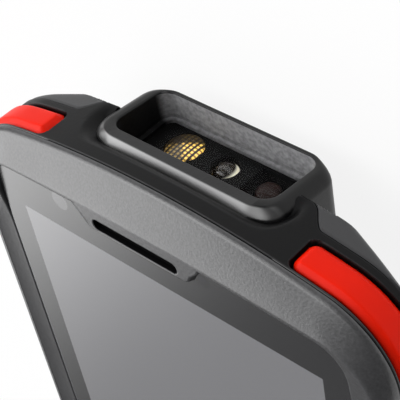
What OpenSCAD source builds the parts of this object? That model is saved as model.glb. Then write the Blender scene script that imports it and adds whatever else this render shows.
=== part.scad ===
// Portable barcode data terminal lying on its back: X to its right, Y to the scanner end,
// Z out of the screen. Millimetres. The origin is at the middle of the face it lies on.

/* [Body] */
// Width of the housings
body_w = 80; // [74:1:90]
// Length of the housings from end to end
body_l = 156; // [150:1:176]
// Thickness from the back face to the rim of the front frame
body_t = 26; // [25:0.5:30]
// Radius of the arched ends
arch_r = 156; // [120:2:260]
// Radius of the flatter arch along the rim and the glass
rim_arch_r = 500; // [400:10:800]
// Radius of the four corners
corner_r = 13; // [10:0.5:16]
// Turn of the chamfer across each scanner-end corner, from the side wall
chamfer_turn = 38.5; // [34:0.5:42]
// Start of the chamfer above the rear housing
chamfer_rise = 3; // [2:0.1:3.4]
// Lean of the chamfer from upright
chamfer_lean = 62; // [56:0.5:63]
// Height of the rear housing
rear_h = 12; // [11:0.5:12.5]
// Height of the front frame
frame_h = 3.1; // [2.8:0.1:3.4]
// Wall of the rear housing
rear_wall = 2.2; // [1.8:0.1:2.6]
// Wall of the mid housing
mid_wall = 3.4; // [3:0.1:4]
// Run of the slope that thins the scanner end at the back
back_slope = 33; // [28:1:38]
// Clearance between pieces that are dropped into place
fit_gap = 0.15; // [0.1:0.05:0.25]

/* [Front frame] */
// Width of the sloped band across each end of the frame
band_w = 7.07; // [6.4:0.1:7.6]
// Bevel along each side of the frame
side_bevel = 1.3; // [0.8:0.1:1.8]
// Height of the frame's rim above the glass
rim_lip = 1; // [0.7:0.1:1.2]
// Overlap of the frame's lip on the glass
lip_cover = 1; // [0.6:0.1:1.4]
// Length of the tab round the earpiece slot
tab_l = 21; // [20:0.5:24]
// Reach of the tab over the glass
tab_reach = 6.2; // [5.4:0.1:7]
// Thickness of the tab
tab_t = 0.5; // [0.4:0.05:0.7]

/* [Display] */
// Width of the picture
display_w = 58.5; // [54:0.5:61]
// Length of the picture
display_l = 104; // [96:1:108]
// Distance from the scanner end to the picture
display_top = 16.97; // [16:0.1:19]
// Width of the glass that shows
glass_w = 68.7; // [67:0.1:72]
// Thickness of the glass
glass_t = 1.1; // [0.7:0.1:1.4]
// Glass below the picture
glass_below = 7.5; // [5:0.5:9]
// Thickness of the display module
display_t = 2.6; // [2:0.1:2.8]
// Dark border round the picture in the module
display_edge = 1.6; // [1:0.1:2.2]

/* [Earpiece, camera and indicator] */
// Length of the earpiece slot
slot_l = 16.5; // [12:0.5:18]
// Width of the earpiece slot
slot_w = 1.8; // [1.2:0.1:2.4]
// Earpiece slot's centre to the left of the middle
slot_x = 3.9; // [3:0.1:5]
// Distance of the slot, the camera and the indicator from the scanner end
sensor_y = 10.8; // [10.3:0.1:11.4]
// Camera to the right of the middle
front_camera_x = 9.4; // [9:0.1:14]
// Diameter of the front camera's lens
front_camera_d = 3; // [2.6:0.1:3.6]
// Indicator to the left of the middle
indicator_x = 19.2; // [18.5:0.1:24]
// Diameter of the indicator's lens
indicator_d = 3.5; // [2.5:0.1:4]

/* [Scanner] */
// Width of the scanner hood
hood_w = 31.7; // [28:0.1:34]
// Height of the scanner hood
hood_h = 13.65; // [12.5:0.05:14]
// Distance of the hood's near face below the glass
hood_drop = 7.25; // [7:0.05:8.2]
// Length of the hood
hood_l = 21.2; // [18:0.1:21.6]
// Wall of the hood beside the opening
hood_side = 1; // [0.8:0.1:1.4]
// Wall of the hood towards the front
hood_near = 1.75; // [1.2:0.05:2]
// Wall of the hood towards the back
hood_far = 0.7; // [0.6:0.05:1.2]
// Corner radius of the hood
hood_r = 3.4; // [2.4:0.1:4]
// Reach of the hood's base beyond the rim at each side
hood_flare = 1.75; // [1:0.05:2]
// Drop of the shoulder from the rim to the base
hood_shoulder = 1.9; // [1.4:0.1:2.4]
// Tilt of the hood's rim
rim_tilt = 6.3; // [0:0.1:10]
// Distance of the hood's rim from the scanner end
rim_set = 0.3; // [0:0.1:1]
// Reach of the hood's flange beyond its sides
flange_side = 2.4; // [1.5:0.1:3]
// Reach of the hood's flange towards the front
flange_near = 1.2; // [0.8:0.1:1.4]
// Distance of the flange from the scanner end
flange_set = 2.1; // [1.6:0.1:2.6]
// Depth from the scanner end to the engine's fascia
fascia_depth = 6.97; // [6:0.1:8]
// Spacing of the three optics
optic_pitch = 8; // [7.5:0.1:8.5]
// Height of the optics above the hood's far face
optic_z = 4.9; // [4.6:0.1:6]
// Diameter of the illumination lens
lamp_d = 6; // [4.5:0.1:6.4]
// Diameter of the aimer lens
aimer_d = 4.4; // [3:0.1:5]
// Diameter of the imager lens
imager_d = 4; // [3:0.1:4.6]

/* [Bumpers] */
// Start of each bumper from the middle
bumper_x = 23.2; // [21.5:0.1:26]
// Length of each bumper down the side, from the scanner end
bumper_side = 42; // [34:1:46]
// Width of each bumper
bumper_w = 5; // [4:0.1:5.4]
// Strip of mid housing between each bumper and the frame
bumper_strip = 0.9; // [0.7:0.1:1.2]
// Height of each bumper above the housing
bumper_proud = 0.4; // [0.2:0.05:0.6]
// Depth of each bumper in its recess
bumper_depth = 1.4; // [1:0.1:1.8]
// Gap round each bumper
bumper_gap = 0.35; // [0.2:0.05:0.6]

/* [Keys] */
// Length of a scan key
scan_key_l = 26; // [20:1:28]
// Width of the keys on the sides
side_key_w = 5; // [4:0.1:5.6]
// Height of the side keys above the housing
side_key_proud = 0.8; // [0.5:0.05:1]
// Centre of the scan keys along the body
scan_key_y = 12; // [8:1:16]
// Length of the volume rocker
rocker_l = 20; // [16:1:22]
// Length of the power key
power_key_l = 11; // [9:1:13]
// Centre of the volume rocker and the power key along the body
lower_key_y = -18; // [-22:1:-17]
// Gap round a side key
key_gap = 0.3; // [0.25:0.05:0.4]
// Rim that holds a key in its opening
key_flange = 1; // [0.8:0.1:1.3]
// Travel of a side key
side_travel = 0.6; // [0.3:0.1:0.7]
// Width of a front key
front_key_w = 14; // [11:0.5:15]
// Length of a front key
front_key_l = 7.5; // [6:0.5:8]
// Spacing of the front keys
front_key_pitch = 20; // [18:0.5:21]
// Travel of a front key
front_travel = 0.5; // [0.3:0.05:0.6]
// Depth of a front key's top below the rim
front_key_sink = 0.2; // [0.1:0.05:0.4]
// Distance of the front keys from the body's lower end
front_key_set = 16.8; // [15:0.1:18]

/* [Battery and door] */
// Width of the battery pack
battery_w = 50; // [46:0.5:50.5]
// Length of the battery pack
battery_l = 66; // [60:1:72]
// Thickness of the battery pack
battery_t = 12.4; // [11:0.1:12.6]
// Distance from the upper end of the flat back to the battery pack
battery_top = 15; // [14.5:0.5:17]
// Thickness of the battery door
door_t = 1.8; // [1.5:0.1:2]
// Depth of the door below the back face
door_sink = 0.3; // [0.25:0.05:0.5]
// Rim of the door round the battery
door_rim = 1.9; // [1.6:0.1:2]
// Radius of the door's hinge pins
hinge_pin_r = 0.8; // [0.6:0.05:0.9]
// Length of each hinge pin
hinge_pin_l = 8; // [6:0.5:9]
// Radial clearance of a running pin
pin_play = 0.05; // [0.02:0.01:0.08]

/* [Ports and fasteners] */
// Width of the port cover
cover_w = 16; // [14:0.5:20]
// Height of the port cover
cover_h = 6; // [5.6:0.1:6.4]
// Thickness of the port cover
cover_t = 1.5; // [1.3:0.1:1.8]
// Radius of the port cover's pin
cover_pin_r = 0.4; // [0.3:0.05:0.45]
// Width of the connector's shell
port_w = 9; // [8.9:0.1:9.4]
// Height of the connector's shell
port_h = 3.2; // [3:0.1:3.4]
// Length of the connector's shell
port_l = 7.4; // [6:0.1:9]
// Radius of the housing screws
screw_r = 1; // [0.8:0.1:1.2]
// Radius of the housing screws' heads
screw_head_r = 1.9; // [1.7:0.1:2]
// Screws from the middle of the body
screw_x = 30.6; // [30.3:0.1:31.4]
// Radius of the strap's threaded holes
strap_hole_r = 1.05; // [0.9:0.05:1.3]
// Depth of the strap's threaded holes
strap_hole_l = 4; // [3:0.5:5]
// Spacing of the strap's threaded holes
strap_pitch = 44; // [42:1:48]
// Diameter of the rear camera's window
rear_camera_d = 7; // [6:0.1:7.4]
// Diameter of a charging contact
contact_d = 2.6; // [2:0.1:2.8]
// Spacing of the charging contacts
contact_pitch = 3.8; // [3.4:0.1:4]
// Width of a slot in the loudspeaker's grille
grille_slot = 1; // [0.8:0.1:1.2]

/* [Hidden] */
eps = 0.01;
top_y = body_l / 2;
half_w = body_w / 2;
mid_top = body_t - frame_h;
mid_base = rear_h;
glass_z = body_t - rim_lip;
glass_base = glass_z - glass_t;
sensor_line = top_y - sensor_y;
// display stack
display_edge_y = top_y - display_top;
display_mid_y = display_edge_y - display_l / 2;
display_low = display_edge_y - display_l - display_edge - 0.8;
glass_low = display_edge_y - display_l - glass_below;
glass_high = top_y - band_w;
display_base = glass_base - display_t;
plate_top = display_base - 0.1;
plate_t = 1.2;
plate_base = plate_top - plate_t;
pocket_w = display_w + 2 * display_edge + 1.6;
gasket_w = 1.2;
lip_gap = 0.3;
glass_r = 5;
sensor_room = 2.9;
ear_w = 4.6;
// chamfer: how far its top edge lies from the middle, and its room for the seal
corner_x = half_w - corner_r;
corner_y = top_y - arch_r + sqrt(pow(arch_r - corner_r, 2) - pow(corner_x, 2));
chamfer_out = corner_x * cos(chamfer_turn) + corner_y * sin(chamfer_turn) + corner_r;
chamfer_seat = 1.4;
// scanner
hood_top = glass_z - hood_drop;
hood_base = hood_top - hood_h;
rim_y = top_y - rim_set;
hood_back = rim_y - hood_l;
base_w = hood_w + 2 * hood_flare;
fascia_y = top_y - fascia_depth;
fascia_t = 1;
barrel_l = 1.2;
window_t = 0.8;
window_gap = 0.5;
open_w = hood_w - 2 * hood_side;
open_h = hood_h - hood_near - hood_far;
open_base = hood_base + hood_far;
optic_line = hood_base + optic_z;
flange_t = 3.4;
scoop_lip = 0.2;
scoop_yaw = 19;
scoop_run = 20;
// back face
flat_inset = 6.5;
flat_top = top_y - back_slope;
// battery bay and door
door_in = door_sink + door_t;
bay_gap = 0.4;
bay_w = battery_w + 2 * bay_gap;
bay_wall = 1.2;
bay_floor = 1;
spring_x = 14;
spring_w = 11.6;
spring_z = 9;
spring_h = 5.6;
battery_base = door_in + 0.4;
bay_top = battery_base + battery_t + 0.2;
battery_high = flat_top - battery_top;
battery_low = battery_high - battery_l;
door_w = battery_w + 2 * door_rim;
door_gap = 0.3;
hinge_y = battery_low - 4;
hinge_z = door_in - 0.2;
knuckle_r = hinge_z - door_sink;
door_high = battery_high + 3;
hinge_pin_in = door_w / 2 + 3 - hinge_pin_l;
bay_out = door_w / 2 + door_gap + bay_wall;
hinge_room = 0.5;
notch_l = 14;
notch_w = 6;
// board
board_t = 1;
board_top = plate_base - 1.4;
board_base = board_top - board_t;
board_w = 54;
cavity_high = hood_back - 1;
end_wall = 9;
board_high = cavity_high - 4;
board_low = -top_y + 12;
post_in = 4;
// bumpers
bumper_top = mid_top - bumper_strip;
bumper_base = bumper_top - bumper_w;
bumper_end = top_y - bumper_side;
// side keys
side_key_z = mid_top - 5.4;
flange_in = 1.15;
wall_in = half_w - mid_wall;
skin = mid_wall - flange_in - 0.1;
strip_x = wall_in - side_travel - 0.4;
switch_top = wall_in - side_travel - 0.2;
strip_t = 0.7;
switch_w = 3;
rocker_rim = 6;
rocker_pin_r = 0.4;
rocker_x = wall_in + flange_in / 2;
// front keys
front_key_y = -top_y + front_key_set;
chin_roof = 1.4;
key_shelf = body_t - chin_roof;
front_flange_t = 0.9;
mat_top = key_shelf - 0.05 - front_flange_t - front_travel - 0.1;
mat_t = 0.6;
// screws
screw_rows = [flat_top - 17, lower_key_y - 14, -top_y + 16];
boss_r = screw_head_r + 0.7;
screw_seat = 1.6;
screw_l = rear_h + 3.4 - screw_seat;
// port
port_z = rear_h + 3.9;
cover_high = port_z + cover_h / 2;
cover_hinge_z = cover_high - cover_t / 2;
cover_out = 0.35;
cover_y = -top_y + cover_out + cover_t / 2;
cover_gap = 0.3;
// row of pieces behind the lower edge of the back
tail_y = -top_y + 14;
speaker_w = 18;
speaker_l = 7.6;
speaker_x = -9;
contact_x = 11;
loudspeaker_t = 4;
rear_camera_w = 6;
rear_camera_t = 4;
end_sag = 1.7;
camera_y = (door_high + door_gap + bay_wall + flat_top - rear_wall - end_sag) / 2;
camera_x = -19;
flash_x = -10;
flash_d = 4;
motor_x = 17;
motor_r = 3.5;
motor_t = 3;
// card socket under the board
card_x = -2.5;
card_y = board_low + 31.5;
card_w = 15;
card_t = 1;

// Points of an arc, from one angle to another
function arc(cx, cy, r, a0, a1, n) =
    [for (i = [0:n]) [cx + r * cos(a0 + (a1 - a0) * i / n), cy + r * sin(a0 + (a1 - a0) * i / n)]];

// Outline with arched ends and round corners: half width, half length, end and corner radius
function outline(hw, hl, ar, cr) =
    let (cx = hw - cr, ay = hl - ar, cy = ay + sqrt((ar - cr) * (ar - cr) - cx * cx),
        t = atan2(cy - ay, cx),
        top = concat(arc(cx, cy, cr, 0, t, 10), arc(0, ay, ar, t, 180 - t, 20),
            arc(-cx, cy, cr, 180 - t, 180, 10)))
    concat(top, [for (p = top) [-p[0], -p[1]]]);

function body_outline(inset) = outline(half_w - inset, top_y - inset, arch_r - inset, corner_r - inset);

// Slab of the body's outline, set in from the edge
module slab(inset, z0, z1) {
    translate([0, 0, z0])
        linear_extrude(z1 - z0)
            polygon(body_outline(inset));
}

// Room beyond the chamfer of each scanner-end corner, with the chamfer set in
module chamfer_cut(inset) {
    for (s = [0, 1])
        mirror([s, 0, 0])
            rotate([0, 0, chamfer_turn])
                translate([chamfer_out, 0, mid_base + chamfer_rise])
                    rotate([0, chamfer_lean, 0])
                        translate([-inset, -body_w, -2 * body_w])
                            cube(2 * body_w);
}

// Slab of the outline where the housings meet, its corners cut off inside the chamfer
module seam_slab(inset, z0, z1) {
    seam_out = chamfer_out - chamfer_rise * tan(chamfer_lean) - chamfer_seat;
    difference() {
        slab(inset, z0, z1);
        for (s = [0, 1])
            mirror([s, 0, 0])
                rotate([0, 0, chamfer_turn])
                    translate([seam_out - inset, -body_w, z0 - 1])
                        cube([body_w, 2 * body_w, z1 - z0 + 2]);
    }
}

// Slab with its own width and ends
module end_slab(hw, high, low, ar, cr, z0, z1) {
    translate([0, (high + low) / 2, z0])
        linear_extrude(z1 - z0)
            polygon(outline(hw, (high - low) / 2, ar, cr));
}

// Plate with round corners in the XY plane, centred
module plate(w, l, r, z0, z1) {
    translate([0, 0, z0])
        linear_extrude(z1 - z0)
            rounded(w, l, r);
}

// Rectangle with round corners, centred
module rounded(w, l, r) {
    square([w - 2 * r, l], center = true);
    square([w, l - 2 * r], center = true);
    for (sx = [-1, 1], sy = [-1, 1])
        translate([sx * (w / 2 - r), sy * (l / 2 - r)])
            circle(r, $fn = 48);
}

// Box between two corners
module span(low, high) {
    translate(low)
        cube(high - low);
}

// Round rectangle of the XZ plane, carried along Y from y0 to y1
module tunnel(w, z0, z1, r, y0, y1) {
    translate([0, y1, (z0 + z1) / 2])
        rotate([90, 0, 0])
            linear_extrude(y1 - y0)
                rounded(w, z1 - z0, r);
}

// Rod along X between two places
module rod(x0, x1, y, z, r) {
    translate([x0, y, z])
        rotate([0, 90, 0])
            cylinder(h = x1 - x0, r = r, $fn = 48);
}

// Slot shape of the earpiece, grown all round
module earpiece_slot(grow, z0, z1) {
    translate([-slot_x, sensor_line, 0])
        plate(slot_l + 2 * grow, slot_w + 2 * grow, slot_w / 2 + grow - eps, z0, z1);
}

// Band along the body's edge at one scanner-end corner, from inset a to inset b
module corner_band(a, b, gap, z0, z1) {
    translate([0, 0, z0])
        linear_extrude(z1 - z0)
            intersection() {
                difference() {
                    polygon(body_outline(a));
                    polygon(body_outline(b));
                }
                translate([bumper_x - gap, bumper_end - gap])
                    square([body_w, body_l]);
            }
}

// Key on the right side wall: its cap, and the rim that holds it
module side_key(length) {
    face = half_w + side_key_proud;
    rim = wall_in + flange_in;
    rotate([0, 90, 0])
        plate(side_key_w, length, side_key_w / 2 - eps, rim - eps, face);
    rotate([0, 90, 0])
        plate(side_key_w + 2 * key_flange, length + 2 * key_flange, 2, wall_in, rim);
}

// Opening for a side key: through the wall, with a pocket for its rim
module side_key_cut(length, travel) {
    rotate([0, 90, 0])
        plate(side_key_w + 2 * key_gap, length + 2 * key_gap, side_key_w / 2, wall_in - 1, half_w + 1);
    rotate([0, 90, 0])
        plate(side_key_w + 2 * (key_flange + key_gap), length + 2 * (key_flange + key_gap), 2,
            wall_in - travel - 0.3, half_w - skin);
}

// Strip of switches behind the right wall's keys: each has its centre, length and top
module switch_strip(switches) {
    high = scan_key_y + scan_key_l / 2;
    low = lower_key_y - power_key_l / 2;
    span([strip_x - strip_t, low, side_key_z - switch_w], [strip_x, high, plate_base]);
    for (sw = switches)
        translate([0, sw[0], side_key_z])
            rotate([0, 90, 0])
                plate(switch_w, sw[1], 0.6, strip_x - 0.2, sw[2]);
}

// Key on the front, with its rim below the frame
module front_key() {
    plate(front_key_w, front_key_l, 2.4, key_shelf - front_flange_t, body_t - front_key_sink);
    plate(front_key_w + 2 * key_flange, front_key_l + 2 * key_flange, 3,
        key_shelf - 0.05 - front_flange_t, key_shelf - 0.05);
}

module front_frame() {
    color([0.2, 0.2, 0.21])
        difference() {
            hull() {
                slab(0, mid_top, mid_top + eps);
                end_slab(half_w - side_bevel * 0.35, top_y - band_w * 0.56, -top_y + band_w * 0.56,
                    2 * arch_r, corner_r - side_bevel, mid_top + frame_h * 0.62, mid_top + frame_h * 0.63);
                end_slab(half_w - side_bevel, top_y - band_w, -top_y + band_w, rim_arch_r,
                    corner_r - 3 * side_bevel, body_t - eps, body_t);
            }
            difference() {
                end_slab(glass_w / 2, glass_high, glass_low, rim_arch_r, glass_r, glass_z - 1, body_t + 1);
                translate([-slot_x, glass_high, 0])
                    plate(tab_l, 2 * tab_reach, 2.6, glass_z - 2, glass_z + tab_t);
            }
            end_slab(glass_w / 2 + lip_cover + lip_gap, glass_high + lip_cover + lip_gap,
                glass_low - lip_cover - lip_gap, rim_arch_r, glass_r + lip_cover, mid_top - 1, glass_z);
            earpiece_slot(0, glass_z - 1, body_t + 1);
            translate([0, front_key_y, 0])
                plate(2 * front_key_pitch + front_key_w + 8, front_key_l + 4, 3, mid_top - 1, key_shelf);
            for (i = [-1:1])
                translate([i * front_key_pitch, front_key_y, 0])
                    plate(front_key_w + 2 * key_gap, front_key_l + 2 * key_gap, 2.6, mid_top, body_t + 1);
        }
}

module touch_glass() {
    color([0.07, 0.075, 0.08])
        difference() {
            end_slab(glass_w / 2 + lip_cover, glass_high + lip_cover, glass_low - lip_cover,
                rim_arch_r, glass_r + lip_cover, glass_base, glass_z);
            earpiece_slot(0.3, glass_base - 1, glass_z + 1);
        }
}

module glass_gasket() {
    outer = glass_w / 2 + lip_cover;
    color([0.12, 0.12, 0.12])
        difference() {
            end_slab(outer, glass_high + lip_cover, glass_low - lip_cover, rim_arch_r,
                glass_r + lip_cover, mid_top, glass_base);
            end_slab(outer - gasket_w, glass_high + lip_cover - gasket_w,
                glass_low - lip_cover + gasket_w, rim_arch_r, glass_r, mid_top - 1, glass_base + 1);
        }
}

module display_module() {
    color([0.36, 0.38, 0.4])
        translate([0, display_mid_y, 0])
            plate(display_w + 2 * display_edge, display_l + 2 * display_edge, 1.5,
                display_base, glass_base);
}

// Room for the hood's body
module hood_cut() {
    tunnel(base_w + 2 * fit_gap, hood_base - fit_gap, hood_top + fit_gap, hood_r,
        hood_back - fit_gap, top_y + 1);
}

// Room for the hood's flange
module flange_cut(low) {
    tunnel(hood_w + 2 * (flange_side + fit_gap), low, hood_top + flange_near + fit_gap, hood_r + 1,
        top_y - flange_set - flange_t - fit_gap, top_y + 1);
}

// Section of the hollow between the frame and the hood, carried along X
module scoop_length(length) {
    rotate([90, 0, 90])
        linear_extrude(length)
            polygon([[0, rear_h - 2], [0, hood_top + flange_near], [flange_set + scoop_lip, mid_top],
                [flange_set + 4, mid_top], [flange_set + 4, rear_h - 2]]);
}

// Hollow between the frame and the hood, running out of the body at each side
module scoop() {
    half = hood_w / 2 + flange_side;
    translate([-half, top_y - flange_set, 0])
        scoop_length(2 * half);
    for (s = [0, 1])
        mirror([s, 0, 0])
            translate([half - eps, top_y - flange_set, 0])
                rotate([0, 0, scoop_yaw])
                    scoop_length(scoop_run);
}

module mid_housing() {
    color([0.09, 0.09, 0.095])
        difference() {
            union() {
                difference() {
                    slab(0, mid_base, mid_top);
                    chamfer_cut(0);
                    end_slab(wall_in, cavity_high, -top_y + end_wall, arch_r, corner_r - mid_wall,
                        mid_base - 1, plate_base);
                    translate([0, (sensor_line + sensor_room + display_low) / 2, 0])
                        plate(pocket_w, sensor_line + sensor_room - display_low, 4, plate_top, mid_top + 1);
                    translate([0, front_key_y, 0])
                        plate(pocket_w, front_key_l + 5, 2, plate_top, mid_top + 1);
                }
                for (s = [-1, 1], y = screw_rows)
                    translate([s * screw_x, y, mid_base])
                        cylinder(h = plate_base - mid_base + eps, r = boss_r - 0.4, $fn = 48);
                for (s = [-1, 1], y = [board_low + post_in, board_high - post_in])
                    translate([s * (board_w / 2 - post_in), y, board_top])
                        cylinder(h = plate_base - board_top + eps, r = 2, $fn = 32);
            }
            for (s = [-1, 1], y = screw_rows)
                translate([s * screw_x, y, mid_base - 1])
                    cylinder(h = 5, r = screw_r, $fn = 32);
            hood_cut();
            flange_cut(rear_h - 8);
            scoop();
            for (s = [0, 1])
                mirror([s, 0, 0])
                    corner_band(-1, bumper_depth + 0.1, bumper_gap, bumper_base - bumper_gap,
                        bumper_top + bumper_gap);
            translate([0, scan_key_y, side_key_z])
                side_key_cut(scan_key_l, side_travel);
            translate([0, lower_key_y, side_key_z])
                side_key_cut(power_key_l, side_travel);
            mirror([1, 0, 0]) {
                translate([0, scan_key_y, side_key_z])
                    side_key_cut(scan_key_l, side_travel);
                translate([0, lower_key_y, side_key_z])
                    side_key_cut(rocker_l, side_travel);
                translate([rocker_x, lower_key_y, side_key_z - side_key_w])
                    cylinder(h = 2 * side_key_w, r = rocker_pin_r, $fn = 32);
            }
            // port, its cover and the cover's pin
            tunnel(cover_w + 2 * cover_gap, port_z - cover_h / 2 - cover_gap, cover_high + cover_gap, 1,
                -top_y - 1, cover_y + cover_t / 2 + cover_gap);
            tunnel(port_w + 2 * fit_gap, port_z - port_h / 2 - fit_gap, port_z + port_h / 2 + fit_gap,
                port_h / 2, -top_y - 1, -top_y + 10);
            rod(-cover_w / 2 - 2, cover_w / 2 + 2, cover_y, cover_hinge_z, cover_pin_r);
            // groove for the seal
            seal_ring(0.05, mid_base - 1, mid_base + 0.45);
        }
}

// Ring between the two housings
module seal_ring(grow, z0, z1) {
    difference() {
        seam_slab(0.9 - grow, z0, z1);
        seam_slab(1.7 + grow, z0 - 1, z1 + 1);
    }
}

module housing_seal() {
    color([0.25, 0.25, 0.27])
        difference() {
            seal_ring(0, rear_h - 0.4, rear_h + 0.4);
            flange_cut(rear_h - 8);
        }
}

// Solid form of the rear housing, set in by its wall for the hollow
module rear_form(inset, base) {
    difference() {
        hull() {
            slab(inset, rear_h - eps, rear_h + (inset > 0 ? 1 : 0));
            end_slab(half_w - 0.9 - inset, top_y - back_slope * 0.5 - inset, -top_y + 0.9 + inset,
                arch_r, corner_r - 0.9 - inset / 2, rear_h * 0.52, rear_h * 0.53);
            end_slab(half_w - 3.6 - inset, top_y - back_slope * 0.84 - inset, -top_y + 3.6 + inset,
                arch_r, corner_r - 3.6 - inset / 2, base + 1.6, base + 1.7);
            end_slab(half_w - flat_inset - inset, flat_top - inset, -top_y + flat_inset + inset,
                arch_r, corner_r - flat_inset, base, base + eps);
        }
        chamfer_cut(inset);
    }
}

module rear_housing() {
    color([0.11, 0.11, 0.115])
        difference() {
            union() {
                difference() {
                    rear_form(0, 0);
                    rear_form(rear_wall, rear_wall);
                    seal_ring(0.05, rear_h - 0.45, rear_h + 1);
                }
                // bay for the battery
                span([-bay_out, hinge_y - knuckle_r - hinge_room - bay_wall, 1],
                    [bay_out, door_high + door_gap + bay_wall, bay_top + bay_floor]);
                // hinge blocks
                for (s = [-1, 1])
                    translate([s * (door_w / 2 + door_gap + 1.6), hinge_y, 0])
                        plate(3.2, 5, 0.8, 1, rear_wall + 2);
                for (s = [-1, 1], y = screw_rows)
                    translate([s * screw_x, y, 1])
                        cylinder(h = rear_h - 1, r = boss_r, $fn = 48);
                for (s = [-1, 1])
                    translate([s * strap_pitch / 2, tail_y, 1])
                        cylinder(h = strap_hole_l + 0.6, r = strap_hole_r + 1.6, $fn = 48);
            }
            // hollow of the bay
            span([-bay_w / 2, battery_low - bay_gap, -1], [bay_w / 2, battery_high + bay_gap, bay_top]);
            // opening for the door, with room for its knuckles to turn
            translate([0, (door_high + door_gap + hinge_y) / 2, 0])
                plate(door_w + 2 * door_gap, door_high + door_gap - hinge_y, 1.5, -1, door_in + 0.2);
            translate([0, hinge_y, 0])
                span([-door_w / 2 - door_gap, -knuckle_r - hinge_room, -1],
                    [door_w / 2 + door_gap, knuckle_r + hinge_room, hinge_z + knuckle_r + hinge_room]);
            for (s = [-1, 1])
                rod(s > 0 ? hinge_pin_in : -hinge_pin_in - hinge_pin_l - eps,
                    s > 0 ? hinge_pin_in + hinge_pin_l + eps : -hinge_pin_in,
                    hinge_y, hinge_z, hinge_pin_r);
            // fingernail notch
            translate([0, door_high + door_gap, 0])
                plate(notch_l, notch_w, notch_w / 2 - 0.1, -1, 1);
            for (s = [-1, 1], y = screw_rows)
                translate([s * screw_x, y, 0]) {
                    translate([0, 0, -1])
                        cylinder(h = screw_seat + 1, r = screw_head_r + 0.1, $fn = 48);
                    cylinder(h = rear_h + 1, r = screw_r + 0.1, $fn = 48);
                }
            for (s = [-1, 1])
                translate([s * strap_pitch / 2, tail_y, -1])
                    cylinder(h = strap_hole_l + 1, r = strap_hole_r, $fn = 48);
            hood_cut();
            // loudspeaker grille
            for (i = [-2:2])
                translate([speaker_x, tail_y + i * 1.9 * grille_slot, 0])
                    plate(speaker_w - 4, grille_slot, grille_slot / 2 - eps, -1, rear_wall + 1);
            for (i = [-1.5:1.5])
                translate([contact_x + i * contact_pitch, tail_y, -1])
                    cylinder(h = rear_wall + 2, r = contact_d / 2 + 0.05, $fn = 32);
            translate([camera_x, camera_y, -1])
                cylinder(h = rear_wall + 2, r = rear_camera_d / 2 + 0.1, $fn = 48);
            translate([flash_x, camera_y, -1])
                cylinder(h = rear_wall + 2, r = flash_d / 2 + 0.1, $fn = 48);
            // window for the battery's contact springs
            spring_block(0.2, battery_high);
        }
}

// Slice of the hood in the plane of its tilted rim, set out at the sides and set down
module rim_slice(out, down) {
    translate([0, rim_y, hood_top])
        rotate([-rim_tilt, 0, 0])
            translate([0, 0, -hood_top])
                tunnel(hood_w + 2 * out, hood_base, hood_top, hood_r, -down - eps, -down);
}

module scanner_hood() {
    flange_y = top_y - flange_set;
    flange_low = flange_y - flange_t;
    color([0.1, 0.1, 0.1])
        difference() {
            union() {
                tunnel(base_w, hood_base, hood_top, hood_r, hood_back, flange_low + eps);
                hull() {
                    rim_slice(0, 0);
                    rim_slice(hood_flare * 0.75, hood_shoulder * 0.55);
                    rim_slice(hood_flare, hood_shoulder);
                    tunnel(base_w, hood_base, hood_top, hood_r, flange_low, flange_low + eps);
                }
                intersection() {
                    tunnel(hood_w + 2 * flange_side, rear_h - 8, hood_top + flange_near, hood_r + 1,
                        flange_low, flange_y);
                    span([-body_w, 0, rear_h], [body_w, body_l, body_t]);
                }
            }
            // opening, then a step for the window and the chamber for the engine
            tunnel(open_w, open_base, open_base + open_h, hood_r - hood_side, fascia_y + window_gap,
                top_y + 1);
            tunnel(open_w - 1.6, open_base + 0.6, open_base + open_h - 0.4, 1.6, hood_back - 1, top_y + 1);
        }
}

module scan_window() {
    color([0.35, 0.3, 0.25, 0.4])
        tunnel(open_w - 2 * fit_gap, open_base + fit_gap, open_base + open_h - fit_gap,
            hood_r - hood_side - fit_gap, fascia_y + window_gap, fascia_y + window_gap + window_t);
}

module engine_fascia() {
    color([0.16, 0.16, 0.17])
        difference() {
            tunnel(open_w - 1.6 - 2 * fit_gap, open_base + 0.6 + fit_gap,
                open_base + open_h - 0.4 - fit_gap, 1.4, fascia_y - fascia_t, fascia_y);
            for (i = [-1:1])
                optic_hole(i, [lamp_d, aimer_d, imager_d][i + 1] / 2 + 0.05);
        }
}

// Hole for an optic, along Y
module optic_hole(i, r) {
    translate([i * optic_pitch, fascia_y + 1, optic_line])
        rotate([90, 0, 0])
            cylinder(h = fascia_t + 2, r = r, $fn = 48);
}

module scan_engine() {
    color([0.3, 0.3, 0.32]) {
        span([-open_w / 2 + 2.2, hood_back + 2, open_base + 1],
            [open_w / 2 - 2.2, fascia_y - fascia_t - barrel_l, open_base + open_h - 1.2]);
        span([-open_w / 2 + 2.2, hood_back + 2, open_base + 0.7],
            [open_w / 2 - 2.2, fascia_y - fascia_t, open_base + 1]);
    }
}

// Dome lens on a barrel that reaches back to the engine
module optic(i, d, bulge) {
    translate([i * optic_pitch, 0, optic_line])
        rotate([-90, 0, 0])
            rotate_extrude($fn = 64)
                polygon(concat([[0, fascia_y - fascia_t - barrel_l], [d / 2, fascia_y - fascia_t - barrel_l]],
                    [for (a = [0:9:90]) [d / 2 * cos(a), fascia_y - 0.1 + bulge * sin(a)]]));
}

module illumination_lens() {
    color([0.85, 0.62, 0.18])
        optic(-1, lamp_d, 0.5);
}

module aimer_lens() {
    color([0.75, 0.78, 0.8])
        optic(0, aimer_d, 0.45);
}

module imager_lens() {
    color([0.28, 0.16, 0.1])
        optic(1, imager_d, 0.25);
}

module right_bumper() {
    color([0.9, 0.2, 0.06])
        corner_band(-bumper_proud, bumper_depth, 0, bumper_base, bumper_top);
}

module left_bumper() {
    mirror([1, 0, 0])
        right_bumper();
}

module earpiece_mesh() {
    color([0.05, 0.05, 0.05])
        earpiece_slot(0.8, glass_base - 0.3, glass_base);
}

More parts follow.
